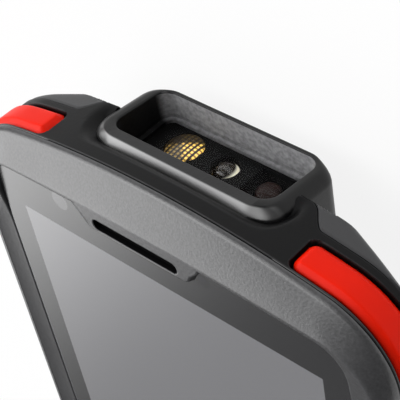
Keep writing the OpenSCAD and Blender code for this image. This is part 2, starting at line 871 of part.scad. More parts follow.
module earpiece_speaker() {
    color([0.5, 0.5, 0.52])
        translate([-slot_x, sensor_line, 0])
            plate(slot_l - 1.5, ear_w, 1, plate_top, glass_base - 0.3);
}

module front_camera() {
    color([0.04, 0.04, 0.06])
        translate([front_camera_x, sensor_line, 0]) {
            plate(5.4, 5, 0.6, plate_top, glass_base - 0.6);
            translate([0, 0, plate_top])
                cylinder(h = glass_base - plate_top, r = front_camera_d / 2, $fn = 48);
        }
}

module indicator_lens() {
    color([0.75, 0.75, 0.75])
        translate([-indicator_x, sensor_line, plate_top])
            cylinder(h = glass_base - plate_top, r = indicator_d / 2, $fn = 48);
}

module right_scan_key() {
    color([0.14, 0.14, 0.15])
        translate([0, scan_key_y, side_key_z])
            side_key(scan_key_l);
}

module left_scan_key() {
    mirror([1, 0, 0])
        right_scan_key();
}

module power_key() {
    color([0.14, 0.14, 0.15])
        translate([0, lower_key_y, side_key_z])
            side_key(power_key_l);
}

module volume_rocker() {
    color([0.14, 0.14, 0.15])
        mirror([1, 0, 0])
            difference() {
                translate([0, lower_key_y, side_key_z])
                    rotate([0, 90, 0]) {
                        plate(side_key_w, rocker_l, side_key_w / 2 - eps, rocker_x,
                            half_w + side_key_proud);
                        plate(side_key_w + 2 * key_flange, rocker_rim, 1, wall_in,
                            wall_in + flange_in - 0.15);
                    }
                translate([rocker_x, lower_key_y, side_key_z - side_key_w])
                    cylinder(h = 2 * side_key_w, r = rocker_pin_r + pin_play, $fn = 32);
            }
}

module rocker_pin() {
    color([0.7, 0.7, 0.72])
        translate([-rocker_x, lower_key_y, side_key_z - side_key_w])
            cylinder(h = 2 * side_key_w, r = rocker_pin_r, $fn = 32);
}

module right_switches() {
    color([0.75, 0.55, 0.2])
        switch_strip([[scan_key_y, 8, switch_top], [lower_key_y, 4, switch_top]]);
}

module left_switches() {
    color([0.75, 0.55, 0.2])
        mirror([1, 0, 0])
            switch_strip([[scan_key_y, 8, switch_top],
                [lower_key_y + rocker_l / 3, 3, rocker_x - 0.45],
                [lower_key_y - rocker_l / 3, 3, rocker_x - 0.45]]);
}

module back_key() {
    color([0.16, 0.16, 0.17])
        translate([-front_key_pitch, front_key_y, 0])
            front_key();
}

module front_scan_key() {
    color([0.9, 0.2, 0.06])
        translate([0, front_key_y, 0])
            front_key();
}

module menu_key() {
    color([0.16, 0.16, 0.17])
        translate([front_key_pitch, front_key_y, 0])
            front_key();
}

module key_mat() {
    color([0.3, 0.3, 0.32])
        translate([0, front_key_y, 0]) {
            plate(pocket_w - 1, front_key_l + 4, 1.5, plate_top, plate_top + mat_t);
            for (i = [-1:1])
                translate([i * front_key_pitch, 0, plate_top])
                    cylinder(h = mat_top - plate_top, r = 2.6, $fn = 32);
        }
}

module main_board() {
    color([0.08, 0.3, 0.16])
        difference() {
            union() {
                span([-board_w / 2, board_low, board_base], [board_w / 2, board_high, board_top]);
                span([-20, 8, board_top - eps], [0, 28, board_top + 1]);
                span([6, 10, board_top - eps], [22, 24, board_top + 1]);
                span([-22, -24, board_top - eps], [-6, -8, board_top + 0.9]);
                span([4, -30, board_top - eps], [20, -12, board_top + 1.1]);
                span([-12, 34, board_top - eps], [14, 44, board_top + 0.8]);
            }
            for (s = [-1, 1], y = [board_low + post_in, board_high - post_in])
                translate([s * (board_w / 2 - post_in), y, board_base - 1])
                    cylinder(h = 3, r = 0.8, $fn = 24);
        }
}

module card_socket() {
    color([0.7, 0.7, 0.7])
        span([card_x - card_w / 2, card_y - card_w / 2, board_base - card_t],
            [card_x + card_w / 2, card_y + card_w / 2, board_base]);
}

module vibration_motor() {
    color([0.65, 0.65, 0.68])
        translate([motor_x, board_low + motor_r + 0.3, board_base - motor_t])
            cylinder(h = motor_t, r = motor_r, $fn = 48);
}

module wireless_antenna() {
    color([0.75, 0.55, 0.2])
        translate([-10, board_high - 4, board_top])
            plate(11, 6, 0.5, 0, 0.6);
}

module battery_pack() {
    color([0.12, 0.12, 0.14])
        translate([0, (battery_high + battery_low) / 2, 0])
            plate(battery_w, battery_l, 2, battery_base, battery_base + battery_t);
}

// Block of contact springs at the end of the bay, grown all round
module spring_block(grow, y0) {
    half_size = [spring_w / 2 + grow, 0, spring_h / 2 + grow];
    span([spring_x, y0, spring_z] - half_size,
        [spring_x, door_high + door_gap + bay_wall + 1, spring_z] + half_size);
}

module battery_contacts() {
    color([0.8, 0.6, 0.2])
        spring_block(0, battery_high + 0.1);
}

module battery_door() {
    color([0.13, 0.13, 0.14])
        difference() {
            union() {
                span([-door_w / 2, hinge_y, door_sink], [door_w / 2, door_high - 2, door_in]);
                translate([0, door_high - 4, 0])
                    plate(door_w, 8, 1.2, door_sink, door_in);
                rod(-door_w / 2, door_w / 2, hinge_y, hinge_z, knuckle_r);
            }
            // only the outer knuckles stay whole, the middle is cut free of the bay
            for (s = [-1, 1])
                rod(s > 0 ? hinge_pin_in - 0.3 : -door_w / 2 - 1, s > 0 ? door_w / 2 + 1 : 0.3 - hinge_pin_in,
                    hinge_y, hinge_z, hinge_pin_r + pin_play);
        }
}

module door_pins() {
    color([0.75, 0.75, 0.77]) {
        rod(hinge_pin_in, hinge_pin_in + hinge_pin_l, hinge_y, hinge_z, hinge_pin_r);
        rod(-hinge_pin_in - hinge_pin_l, -hinge_pin_in, hinge_y, hinge_z, hinge_pin_r);
    }
}

module port_cover() {
    color([0.08, 0.08, 0.085])
        difference() {
            union() {
                span([-cover_w / 2, cover_y - cover_t / 2, port_z - cover_h / 2],
                    [cover_w / 2, cover_y + cover_t / 2, cover_hinge_z]);
                rod(-cover_w / 2, cover_w / 2, cover_y, cover_hinge_z, cover_t / 2);
            }
            rod(-cover_w, cover_w, cover_y, cover_hinge_z, cover_pin_r + pin_play);
        }
}

module port_pin() {
    color([0.75, 0.75, 0.77])
        rod(-cover_w / 2 - 1.8, cover_w / 2 + 1.8, cover_y, cover_hinge_z, cover_pin_r);
}

module charge_port() {
    start = cover_y + cover_t / 2 + cover_gap + 0.1;
    color([0.72, 0.72, 0.74])
        difference() {
            tunnel(port_w, port_z - port_h / 2, port_z + port_h / 2, port_h / 2 - eps, start, start + port_l);
            difference() {
                tunnel(port_w - 0.7, port_z - port_h / 2 + 0.35, port_z + port_h / 2 - 0.35,
                    port_h / 2 - 0.36, start - 1, start + port_l - 1);
                span([-port_w / 2 + 1.2, start + 1, port_z - 0.35],
                    [port_w / 2 - 1.2, start + port_l, port_z + 0.35]);
            }
        }
}

module loudspeaker() {
    color([0.2, 0.2, 0.22])
        translate([speaker_x, tail_y, 0])
            plate(speaker_w, speaker_l, 1.5, rear_wall + 0.2, rear_wall + 0.2 + loudspeaker_t);
}

module speaker_mesh() {
    color([0.05, 0.05, 0.05])
        translate([speaker_x, tail_y, 0])
            plate(speaker_w - 2, speaker_l, 1, rear_wall, rear_wall + 0.2);
}

module rear_camera() {
    color([0.15, 0.15, 0.17])
        translate([camera_x, camera_y, 0]) {
            plate(rear_camera_w, rear_camera_w, 1, rear_wall, rear_wall + rear_camera_t);
            translate([0, 0, 1.3])
                cylinder(h = rear_wall, r = rear_camera_d / 2 - 1, $fn = 48);
        }
}

module camera_window() {
    color([0.05, 0.06, 0.08])
        translate([camera_x, camera_y, 0.4])
            cylinder(h = 0.9, r = rear_camera_d / 2, $fn = 64);
}

module camera_flash() {
    color([0.95, 0.9, 0.7])
        translate([flash_x, camera_y, 0.4])
            cylinder(h = rear_wall + 0.6, r = flash_d / 2, $fn = 48);
}

module charge_contacts() {
    color([0.85, 0.65, 0.25])
        for (i = [-1.5:1.5])
            translate([contact_x + i * contact_pitch, tail_y, 0.2])
                cylinder(h = rear_wall + 0.8, r = contact_d / 2, $fn = 32);
}

module housing_screws() {
    color([0.3, 0.3, 0.32])
        for (s = [-1, 1], y = screw_rows)
            translate([s * screw_x, y, 0])
                difference() {
                    union() {
                        translate([0, 0, screw_seat - 1.2])
                            cylinder(h = 1.2, r = screw_head_r, $fn = 48);
                        translate([0, 0, screw_seat - eps])
                            cylinder(h = screw_l, r = screw_r - 0.02, $fn = 48);
                    }
                    translate([0, 0, screw_seat - 1.3])
                        cylinder(h = 0.8, r = 0.9, $fn = 6);
                }
}

front_frame();
touch_glass();
glass_gasket();
display_module();
mid_housing();
rear_housing();
housing_seal();
scanner_hood();
scan_window();
engine_fascia();
scan_engine();
illumination_lens();
aimer_lens();
imager_lens();
left_bumper();
right_bumper();
earpiece_mesh();
earpiece_speaker();
front_camera();
indicator_lens();
left_scan_key();
right_scan_key();
volume_rocker();
rocker_pin();
power_key();
left_switches();
right_switches();
back_key();
front_scan_key();
menu_key();
key_mat();
main_board();
card_socket();
vibration_motor();
wireless_antenna();
battery_pack();
battery_contacts();
battery_door();
door_pins();
port_cover();
port_pin();
charge_port();
loudspeaker();
speaker_mesh();
rear_camera();
camera_window();
camera_flash();
charge_contacts();
housing_screws();
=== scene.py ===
# Portable data terminal with a barcode scanner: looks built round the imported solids.
# Shapes are worked out in millimetres and written to the meshes in metres.
import bmesh
import bpy
import math
import numpy as np
from mathutils import Matrix, Vector
from mathutils.geometry import delaunay_2d_cdt


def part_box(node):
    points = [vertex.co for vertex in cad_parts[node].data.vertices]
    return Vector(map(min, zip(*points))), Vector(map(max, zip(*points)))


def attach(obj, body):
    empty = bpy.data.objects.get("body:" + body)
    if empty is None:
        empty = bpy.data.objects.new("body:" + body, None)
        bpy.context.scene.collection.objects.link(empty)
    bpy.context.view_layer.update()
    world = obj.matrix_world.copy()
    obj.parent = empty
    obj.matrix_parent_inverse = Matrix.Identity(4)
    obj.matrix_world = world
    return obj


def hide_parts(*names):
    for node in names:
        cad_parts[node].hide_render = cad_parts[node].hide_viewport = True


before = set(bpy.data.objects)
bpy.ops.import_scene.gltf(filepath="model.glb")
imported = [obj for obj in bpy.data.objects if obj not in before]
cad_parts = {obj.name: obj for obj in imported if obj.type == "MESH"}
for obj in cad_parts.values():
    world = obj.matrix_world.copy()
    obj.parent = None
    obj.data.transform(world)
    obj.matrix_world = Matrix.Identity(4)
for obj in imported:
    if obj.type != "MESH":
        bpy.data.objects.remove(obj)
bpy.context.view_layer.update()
mm = 0.001


def nodeBox(name):
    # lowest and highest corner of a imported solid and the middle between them, in millimetres
    low, high = [np.array(corner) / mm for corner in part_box(name)]
    return low, high, (low + high) / 2


# Camera and lamp
view = {"place": (101.73, 188.79, 98.58), "right": (0.7282, -0.1508, -0.6685),
        "up": (-0.3781, 0.7252, -0.5754), "lens": 114.04, "sensor": 36, "near": 5}
lamp = {"turn": -165, "rise": 52, "away": 1000, "size": 500, "power": 0.4}


def addObject(name, data):
    # new object with its data, linked to the scene
    thing = bpy.data.objects.new(name, data)
    bpy.context.scene.collection.objects.link(thing)
    return thing


def addCamera():
    # looks against the cross product of its right and up directions
    right, up = [Vector(view[way]).normalized() for way in ("right", "up")]
    camera = addObject("camera", bpy.data.cameras.new("camera"))
    turn = Matrix((right, up, right.cross(up))).transposed().to_4x4()
    camera.matrix_world = Matrix.Translation(Vector(view["place"]) * mm) @ turn
    camera.data.lens = view["lens"]
    camera.data.sensor_width = view["sensor"]
    camera.data.clip_start = view["near"] * mm
    bpy.context.scene.camera = camera


def addLamp():
    # area lamp on a sphere round the object, facing its middle
    turn, rise = math.radians(lamp["turn"]), math.radians(lamp["rise"])
    spot = Vector((math.cos(rise) * math.cos(turn), math.cos(rise) * math.sin(turn), math.sin(rise)))
    key = addObject("keyLamp", bpy.data.lights.new("keyLamp", "AREA"))
    key.data.size = lamp["size"] * mm
    key.data.energy = lamp["power"]
    key.location = spot * lamp["away"] * mm
    key.rotation_euler = spot.to_track_quat("Z", "Y").to_euler()


addCamera()
addLamp()
bpy.context.scene.view_settings.view_transform = "Standard"
print("camera and lamp")


# Shader helpers
def addNode(tree, kind, inputs=None, **settings):
    # shader node; an input is linked where it gets a socket and set where it gets a value
    node = tree.nodes.new("ShaderNode" + kind)
    for key, value in settings.items():
        setattr(node, key, value)
    for key, value in (inputs or {}).items():
        if hasattr(value, "links"):
            tree.links.new(value, node.inputs[key])
        else:
            node.inputs[key].default_value = value
    return node


def objectPlace(tree):
    # place in the object's own frame
    return addNode(tree, "TexCoord").outputs["Object"]


def calc(tree, operation, *values):
    # one step of arithmetic on one or two values
    return addNode(tree, "Math", dict(enumerate(values)), operation=operation).outputs[0]


def times(tree, *factors):
    # product of all the factors
    total = factors[0]
    for factor in factors[1:]:
        total = calc(tree, "MULTIPLY", total, factor)
    return total


def measure(tree, operation, place, other):
    # distance from a spot, or reach along a direction
    return addNode(tree, "VectorMath", {0: place, 1: other}, operation=operation).outputs["Value"]


def remap(tree, value, low, high, start=0.0, stop=1.0, soft=False):
    # goes from start to stop while the value goes from low to high, evenly or with level ends
    return addNode(tree, "MapRange", {
        "Value": value, "From Min": low, "From Max": high, "To Min": start, "To Max": stop},
        interpolation_type="SMOOTHSTEP" if soft else "LINEAR").outputs["Result"]


def mix(tree, share, first, second, **settings):
    # colour on the way from the first to the second
    node = addNode(tree, "Mix", {"Factor": share, 6: first, 7: second}, data_type="RGBA", **settings)
    return node.outputs[2]


def levelRamp(tree, low, high, along=(0, 0, 1)):
    # 0 under a level in millimetres and 1 over another, measured along a direction of the part's own frame
    return remap(tree, measure(tree, "DOT_PRODUCT", objectPlace(tree), along), low * mm, high * mm, soft=True)


def addGroup(name, inputs, outputs):
    # empty group with named number inputs; returns it with the sockets at its start and end
    tree = bpy.data.node_groups.new(name, "ShaderNodeTree")
    for label, value in inputs.items():
        tree.interface.new_socket(label, in_out="INPUT", socket_type="NodeSocketFloat").default_value = value
    for label, kind in outputs.items():
        tree.interface.new_socket(label, in_out="OUTPUT", socket_type="NodeSocket" + kind)
    return tree, tree.nodes.new("NodeGroupInput").outputs, tree.nodes.new("NodeGroupOutput").inputs


def colour(red, green, blue):
    # screen colour from 0 to 255 as a linear one
    share = np.array([red, green, blue]) / 255
    linear = np.where(share <= 0.04045, share / 12.92, ((share + 0.055) / 1.055) ** 2.4)
    return (*[float(part) for part in linear], 1)


def makeGrainGroup():
    # moulded grain: fine noise as height, with that noise and a wide one given out for the colour
    tree, start, end = addGroup("mouldedGrain", {"Scale": 1800, "Strength": 0.2, "Depth": 0.00005},
                                {"Normal": "Vector", "Mask": "Float", "Speck": "Float"})
    place = objectPlace(tree)
    fine = addNode(tree, "TexNoise", {"Vector": place, "Scale": start["Scale"], "Detail": 3}).outputs["Fac"]
    wide = addNode(tree, "TexNoise", {"Vector": place, "Scale": 60, "Detail": 2}).outputs["Fac"]
    bump = addNode(tree, "Bump", {"Height": fine, "Strength": start["Strength"], "Distance": start["Depth"]})
    for label, socket in (("Normal", bump.outputs["Normal"]), ("Mask", wide), ("Speck", fine)):
        tree.links.new(socket, end[label])
    return tree


def makeWearAndHighlightGroup():
    # worn edges and painted edge highlights: where the surface bends outwards, broken up by noise
    tree, start, end = addGroup("wornEdgeAndHighlight", {"Start": 0.52, "End": 0.62}, {"Mask": "Float"})
    bend = addNode(tree, "NewGeometry").outputs["Pointiness"]
    noise = addNode(tree, "TexNoise", {"Vector": objectPlace(tree), "Scale": 400, "Detail": 4}).outputs["Fac"]
    tree.links.new(times(tree, remap(tree, bend, start["Start"], start["End"]), noise), end["Mask"])
    return tree


grainGroup = makeGrainGroup()
wearAndHighlightGroup = makeWearAndHighlightGroup()


def emptyMaterial(name):
    # new material with its node tree and its surface shader
    material = bpy.data.materials.new(name)
    material.use_nodes = True
    return material, material.node_tree, material.node_tree.nodes["Principled BSDF"]


def makeMaterial(name, base, rough=0.45, spread=0.06, grain=1800, relief=0.2, depth=0.05, wearAndHighlight=0.0,
                 wornAndHighlightTone=None, mottle=0.08, metal=0.0, gloss=0.5, coat=0.0, coatRough=0.1, coatFrom=(),
                 coatIor=1.5, lower=None, speck=0.0):
    # moulded or coated surface: colour and roughness wander with a wide noise and specks with a fine one, a
    # second colour may lie under a level as painted light, edges are worn and carry painted highlights,
    # grain is in the normal, the coat may keep to levels
    material, tree, shader = emptyMaterial(name)
    for label, value in (("Metallic", metal), ("Specular IOR Level", gloss), ("Coat Weight", coat),
                         ("Coat Roughness", coatRough), ("Coat IOR", coatIor)):
        shader.inputs[label].default_value = value
    surface = addNode(tree, "Group", {"Scale": grain, "Strength": relief, "Depth": depth * mm},
                      node_tree=grainGroup).outputs
    dark, pale = [[*(min(1, part * change) for part in colour(*base)[:3]), 1]
                  for change in (1 - mottle, 1 + mottle)]
    tone = mix(tree, surface["Mask"], dark, pale)
    # painted light: a paler second colour under a level; on the hood lining it lights the far wall of the
    # opening
    if lower:
        under, low, high = lower
        tone = mix(tree, levelRamp(tree, low, high), colour(*under), tone)
    if speck:
        strength = remap(tree, surface["Speck"], 0.3, 0.7, 1 - speck, 1 + speck)
        tone = mix(tree, 1.0, tone, strength, blend_type="MULTIPLY", clamp_result=False)
    # painted highlight: the tone on convex bends is real wear on most parts, and mostly painted edge
    # highlight on the middle housing and hood
    if wearAndHighlight:
        edge = addNode(tree, "Group", node_tree=wearAndHighlightGroup).outputs["Mask"]
        tone = mix(tree, times(tree, edge, wearAndHighlight), tone, colour(*wornAndHighlightTone) if wornAndHighlightTone else pale)
    if coatFrom:
        coated = times(tree, *[levelRamp(tree, *level) for level in coatFrom])
        tree.links.new(coated, shader.inputs["Coat Weight"])
    gleam = remap(tree, surface["Mask"], 0, 1, rough - spread, rough + spread)
    for label, socket in (("Base Color", tone), ("Normal", surface["Normal"]), ("Roughness", gleam)):
        tree.links.new(socket, shader.inputs[label])
    return material


# Scanner hood: its rim leans back by the tilt, and the coat lies on its upper edge, behind the rim
hood = {"rimHalf": 15.85, "baseHalf": 17.6, "low": 4.1, "high": 17.75, "round": 3.4, "rimY": 77.7,
        "tilt": math.tan(math.radians(6.3)), "flangeHalf": 18.25, "flangeHigh": 18.95, "flangeLow": 12.0,
        "flangeRound": 4.4, "flangeY": 75.2, "openHalf": 14.85, "openLow": 4.8, "openHigh": 16.0,
        "openRound": 2.4, "slope": 1.75, "coatLow": 15.4, "coatHigh": 17.0}
underRim = hood["high"] * hood["tilt"] - hood["rimY"]
hoodCoat = [(hood["coatLow"], hood["coatHigh"]), (underRim + 0.04, underRim + 0.29, (0, -1, hood["tilt"]))]

looks = {
    "frame": makeMaterial("framePlastic", (52, 52, 54), rough=0.37, relief=0.8, grain=2600, depth=0.04,
                          wearAndHighlight=0.4, gloss=1.0, wornAndHighlightTone=(90, 90, 92), speck=0.35),
    # middle housing: its strong worn-edge tone is mostly painted highlight along its edges and the seam
    "mid": makeMaterial("midPlastic", (13, 13, 14), rough=0.42, relief=0.3, wearAndHighlight=1.0, gloss=0.16,
                        wornAndHighlightTone=(80, 80, 82), coatFrom=[(22.42, 22.6)], coatRough=0.25),
    "rear": makeMaterial("rearPlastic", (50, 50, 52), rough=0.4, relief=0.3, grain=1400, wearAndHighlight=0.4, gloss=0.55,
                         wornAndHighlightTone=(86, 86, 88)),
    # hood: its worn-edge tone is mostly painted highlight on the rim edges and corners
    "hood": makeMaterial("hoodPlastic", (12, 12, 13), rough=0.34, relief=0.3, wearAndHighlight=0.8, gloss=0.3,
                         wornAndHighlightTone=(100, 100, 102), coatFrom=hoodCoat, coatRough=0.33, coatIor=2.1),
    # hood lining: black, with a pale colour below 5.4 to 7 mm that is painted light on the far wall of the
    # opening
    "liner": makeMaterial("hoodLiner", (10, 10, 11), rough=0.5, relief=0.7, grain=1500, depth=0.07, gloss=0.3,
                          lower=((150, 150, 152), 5.4, 7.0), speck=0.3),
    "bumper": makeMaterial("orangeRubber", (240, 28, 0), rough=0.42, relief=0.12, mottle=0.05, gloss=0.12),
    "plate": makeMaterial("opticPlate", (5, 5, 6), rough=0.6, gloss=0.15),
    # slot lining: near black, painted shade on the slot's walls, with its floor standing for the dark
    # earpiece mesh
    "hole": makeMaterial("slotMeshAndShade", (5, 5, 6), rough=0.8, relief=0.6, grain=2500, gloss=0.05),
    "key": makeMaterial("keyPlastic", (40, 40, 42), relief=0.25, wearAndHighlight=0.6, wornAndHighlightTone=(100, 100, 102)),
    "door": makeMaterial("doorPlastic", (44, 44, 46), rough=0.52, relief=0.5, grain=1300, wearAndHighlight=0.5,
                         wornAndHighlightTone=(84, 84, 86)),
    "flap": makeMaterial("flapRubber", (26, 26, 27), rough=0.6, relief=0.3),
    "steel": makeMaterial("steel", (188, 188, 190), rough=0.3, relief=0.1, metal=1),
    "darkSteel": makeMaterial("screwSteel", (90, 90, 93), rough=0.35, relief=0.1, metal=1),
    "gold": makeMaterial("goldPlate", (226, 180, 88), rough=0.22, relief=0.06, metal=1),
    "copper": makeMaterial("flexFilm", (176, 118, 48), rough=0.4, relief=0.1),
    "black": makeMaterial("blackPlastic", (14, 14, 15), rough=0.35, relief=0.1),
    "foam": makeMaterial("foam", (30, 30, 31), rough=0.9, relief=0.8, grain=2500),
    "board": makeMaterial("boardGreen", (20, 78, 44), rough=0.4, relief=0.3, grain=900, mottle=0.3),
    "wrap": makeMaterial("batteryWrap", (34, 35, 40), rough=0.5),
    "pale": makeMaterial("indicatorPlastic", (176, 178, 180), rough=0.35, relief=0.05),
    "flash": makeMaterial("flashPlastic", (232, 222, 176), rough=0.25, relief=0.05, coat=1.0),
    "lensBlack": makeMaterial("lensBlack", (8, 9, 13), rough=0.06, spread=0.02, relief=0.0, coat=1.0,
                              coatRough=0.02),
    "lensBrown": makeMaterial("lensBrown", (44, 20, 14), rough=0.3, spread=0.05, relief=0.0, gloss=0.3),
    "lensDome": makeMaterial("lensDome", (52, 46, 34), rough=0.08, spread=0.02, relief=0.0, coat=1.0,
                             coatRough=0.02),
}
print("materials")

# Floor and backdrop
ground = {"size": 3000, "level": -0.1, "dark": 0.86, "pale": 0.9, "glow": 1.0, "shadow": 0.13}
sky = {"level": 0.2, "panelStrength": 3.3,
       "panel": [((-0.755, 0.656, 0), -0.085, 0.16), ((0, 0, 1), 0.2, 0.37), ((0, 0, -1), -0.93, -0.71),
                 ((0, -1, 0), -0.75, -0.35)],
       "fill": (-0.35, 0.55, 0.76), "fillInner": 12, "fillOuter": 44, "fillStrength": 2.0}


def makeFloorMaterial():
    # pale floor that keeps the shadow: bright to the camera, plain to the light, clear from below
    material, tree, shader = emptyMaterial("studioFloor")
    cloud = addNode(tree, "TexNoise", {"Vector": objectPlace(tree), "Scale": 6, "Detail": 2}).outputs["Fac"]
    tone = mix(tree, cloud, *[(ground[part], ground[part], ground[part], 1) for part in ("dark", "pale")])
    tree.links.new(tone, shader.inputs["Base Color"])
    shader.inputs["Roughness"].default_value = 0.9
    shader.inputs["Specular IOR Level"].default_value = 0.1
    ray = addNode(tree, "LightPath").outputs
    seen = calc(tree, "MAXIMUM", ray["Is Camera Ray"], ray["Is Glossy Ray"])
    seen = times(tree, calc(tree, "MAXIMUM", seen, ray["Is Transmission Ray"]), 1 - ground["shadow"])
    glow = addNode(tree, "Emission", {"Strength": ground["glow"]}).outputs[0]
    lit = addNode(tree, "MixShader", {"Fac": seen, 1: shader.outputs[0], 2: glow}).outputs[0]
    under = addNode(tree, "NewGeometry").outputs["Backfacing"]
    clear = addNode(tree, "BsdfTransparent").outputs[0]
    whole = addNode(tree, "MixShader", {"Fac": under, 1: lit, 2: clear})
    tree.links.new(whole.outputs[0], tree.nodes["Material Output"].inputs["Surface"])
    return material


def addFloor():
    # wide quad just under the back of the housing
    size, level = ground["size"] * mm, ground["level"] * mm
    mesh = bpy.data.meshes.new("floor")
    mesh.from_pydata([(-size, -size, level), (size, -size, level), (size, size, level), (-size, size, level)],
                     [], [(0, 1, 2, 3)])
    mesh.materials.append(makeFloorMaterial())
    floor = addObject("floor", mesh)


def addWorld():
    # soft grey surround, a large panel with soft edges and a weak broad glow; white where the camera sees it
    world = bpy.context.scene.world or bpy.data.worlds.new("studio")
    bpy.context.scene.world = world
    world.use_nodes = True
    tree = world.node_tree
    tree.nodes.clear()
    aim = addNode(tree, "TexCoord").outputs["Generated"]

    def reach(direction):
        return measure(tree, "DOT_PRODUCT", aim, tuple(Vector(direction).normalized()))
    panel = times(tree, sky["panelStrength"], *[remap(tree, reach(direction), low, high, soft=True)
                                                for direction, low, high in sky["panel"]])
    angle = calc(tree, "ARCCOSINE", reach(sky["fill"]))
    glow = remap(tree, angle, math.radians(sky["fillOuter"]), math.radians(sky["fillInner"]), 0.0,
                 sky["fillStrength"], soft=True)
    total = calc(tree, "ADD", calc(tree, "ADD", panel, glow), sky["level"])
    ray = addNode(tree, "LightPath").outputs
    seen = calc(tree, "MAXIMUM", ray["Is Camera Ray"], ray["Is Transmission Ray"])
    soft, white = [addNode(tree, "Background", {"Color": (1, 1, 1, 1), "Strength": strength}).outputs[0]
                   for strength in (total, 1.0)]
    both = addNode(tree, "MixShader", {"Fac": seen, 1: soft, 2: white})
    tree.links.new(both.outputs[0], addNode(tree, "OutputWorld").inputs["Surface"])


addFloor()
addWorld()

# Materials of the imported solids
lookNodes = {
    "frame": "front_frame", "mid": "mid_housing", "rear": "rear_housing", "hood": "scanner_hood",
    "liner": "engine_fascia", "plate": "scan_engine", "lensDome": "aimer_lens", "lensBrown": "imager_lens",
    "pale": "indicator_lens", "flash": "camera_flash", "board": "main_board", "wrap": "battery_pack",
    "door": "battery_door", "darkSteel": "housing_screws", "foam": "glass_gasket earpiece_mesh speaker_mesh",
    "black": "touch_glass display_module loudspeaker rear_camera",
    "flap": "housing_seal key_mat port_cover", "lensBlack": "scan_window front_camera camera_window",
    "gold": "illumination_lens battery_contacts charge_contacts",
    "bumper": "left_bumper right_bumper front_scan_key",
    "steel": "earpiece_speaker rocker_pin card_socket vibration_motor door_pins port_pin charge_port",
    "key": "left_scan_key right_scan_key volume_rocker power_key back_key menu_key",
    "copper": "left_switches right_switches wireless_antenna",
}
for look, names in lookNodes.items():
    for name in names.split():
        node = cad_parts[name]
        if not node.data.materials:
            node.data.materials.append(looks[look])
        for slot in node.material_slots:
            slot.material = looks[look]
print("solids dressed")


# Mesh helpers
def smooth(t):
    # rises from 0 to 1 with level ends
    t = np.clip(t, 0, 1)
    return t * t * (3 - 2 * t)


def ramp(value, start, run):
    # smooth rise from 0 to 1 that begins at start and takes the run; a negative run makes it fall
    return smooth((value - start) / run)


def roundBox(a, b, halfA, halfB, radius):
    # distance to the edge of a round-cornered rectangle, negative inside
    outA = np.abs(a) - halfA + radius
    outB = np.abs(b) - halfB + radius
    beyond = np.hypot(np.maximum(outA, 0), np.maximum(outB, 0))
    return beyond + np.minimum(np.maximum(outA, outB), 0) - radius


def gradedLines(low, high, coarse, fine, spots, reach):
    # places from low to high, spaced coarse, but fine within reach of each spot
    scan = np.linspace(low, high, 4001)
    near = smooth(1.5 - np.abs(scan[:, None] - spots) / reach).max(axis=1)
    density = 1 / coarse + (1 / fine - 1 / coarse) * near
    total = np.concatenate([[0], np.cumsum((density[1:] + density[:-1]) / 2 * np.diff(scan))])
    return np.interp(np.linspace(0, total[-1], int(math.ceil(total[-1])) + 1), total, scan)


def gridFaces(rows, columns, closed=True):
    # quads between the rows of a grid whose columns may close on themselves
    index = np.arange(rows * columns).reshape(rows, columns)
    after = np.roll(index, -1, axis=1)
    if not closed:
        index, after = index[:, :-1], after[:, :-1]
    return np.stack([index[:-1], after[:-1], after[1:], index[1:]], axis=-1).reshape(-1, 4)


def faceLists(faces):
    # faces as plain lists of corners
    return faces.tolist() if isinstance(faces, np.ndarray) else faces


def joinParts(parts):
    # one list of points and of faces from several, the faces renumbered
    points, faces, base = [], [], 0
    for place, polygons in parts:
        points.append(place)
        faces += [[base + corner for corner in face] for face in faceLists(polygons)]
        base += len(place)
    return np.concatenate(points), faces


mesher = {"merge": 0.002, "thin": 0.001, "crease": math.radians(38)}


def addPiece(name, parts, look, replaced, body="housings", keepSide=True):
    # mesh from parts in millimetres: doubles merged, faces kept as they wind or turned outwards as a whole,
    # edges sharper than the crease kept
    points, faces = joinParts(parts)
    mesh = bpy.data.meshes.new(name)
    mesh.from_pydata((points * mm).tolist(), [], faces)
    work = bmesh.new()
    work.from_mesh(mesh)
    bmesh.ops.remove_doubles(work, verts=work.verts, dist=mesher["merge"] * mm)
    bmesh.ops.dissolve_degenerate(work, edges=work.edges, dist=mesher["thin"] * mm)
    middle = sum((v.co for v in work.verts), Vector()) / len(work.verts)
    side = sum(f.calc_area() * f.normal.dot(f.calc_center_median() - middle) for f in work.faces)
    if side < 0 and not keepSide:
        bmesh.ops.reverse_faces(work, faces=work.faces)
    work.to_mesh(mesh)
    work.free()
    mesh.polygons.foreach_set("use_smooth", np.ones(len(mesh.polygons), bool))
    mesh.set_sharp_from_angle(angle=mesher["crease"])
    mesh.materials.append(looks[look])
    piece = addObject(name, mesh)
    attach(piece, body)
    if replaced:
        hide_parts(*replaced)


def flipped(points, faces):
    # the same surface with its faces the other way round
    return points, [face[::-1] for face in faces]


def turnOutwards(points, faces):
    # the sum over the faces of area times height under them is the volume; it must be positive
    faces = faceLists(faces)
    volume = 0.0
    for face in faces:
        ring = points[face]
        fan = np.cross(ring[1:-1] - ring[0], ring[2:] - ring[0])
        volume += float((fan * ring[0]).sum())
    return (points, faces) if volume > 0 else flipped(points, faces)


def addSolid(name, parts, look, node, body="housings"):
    # closed parts of one piece, each turned outwards on its own before they are joined
    addPiece(name, [turnOutwards(*part) for part in parts], look, [node], body)


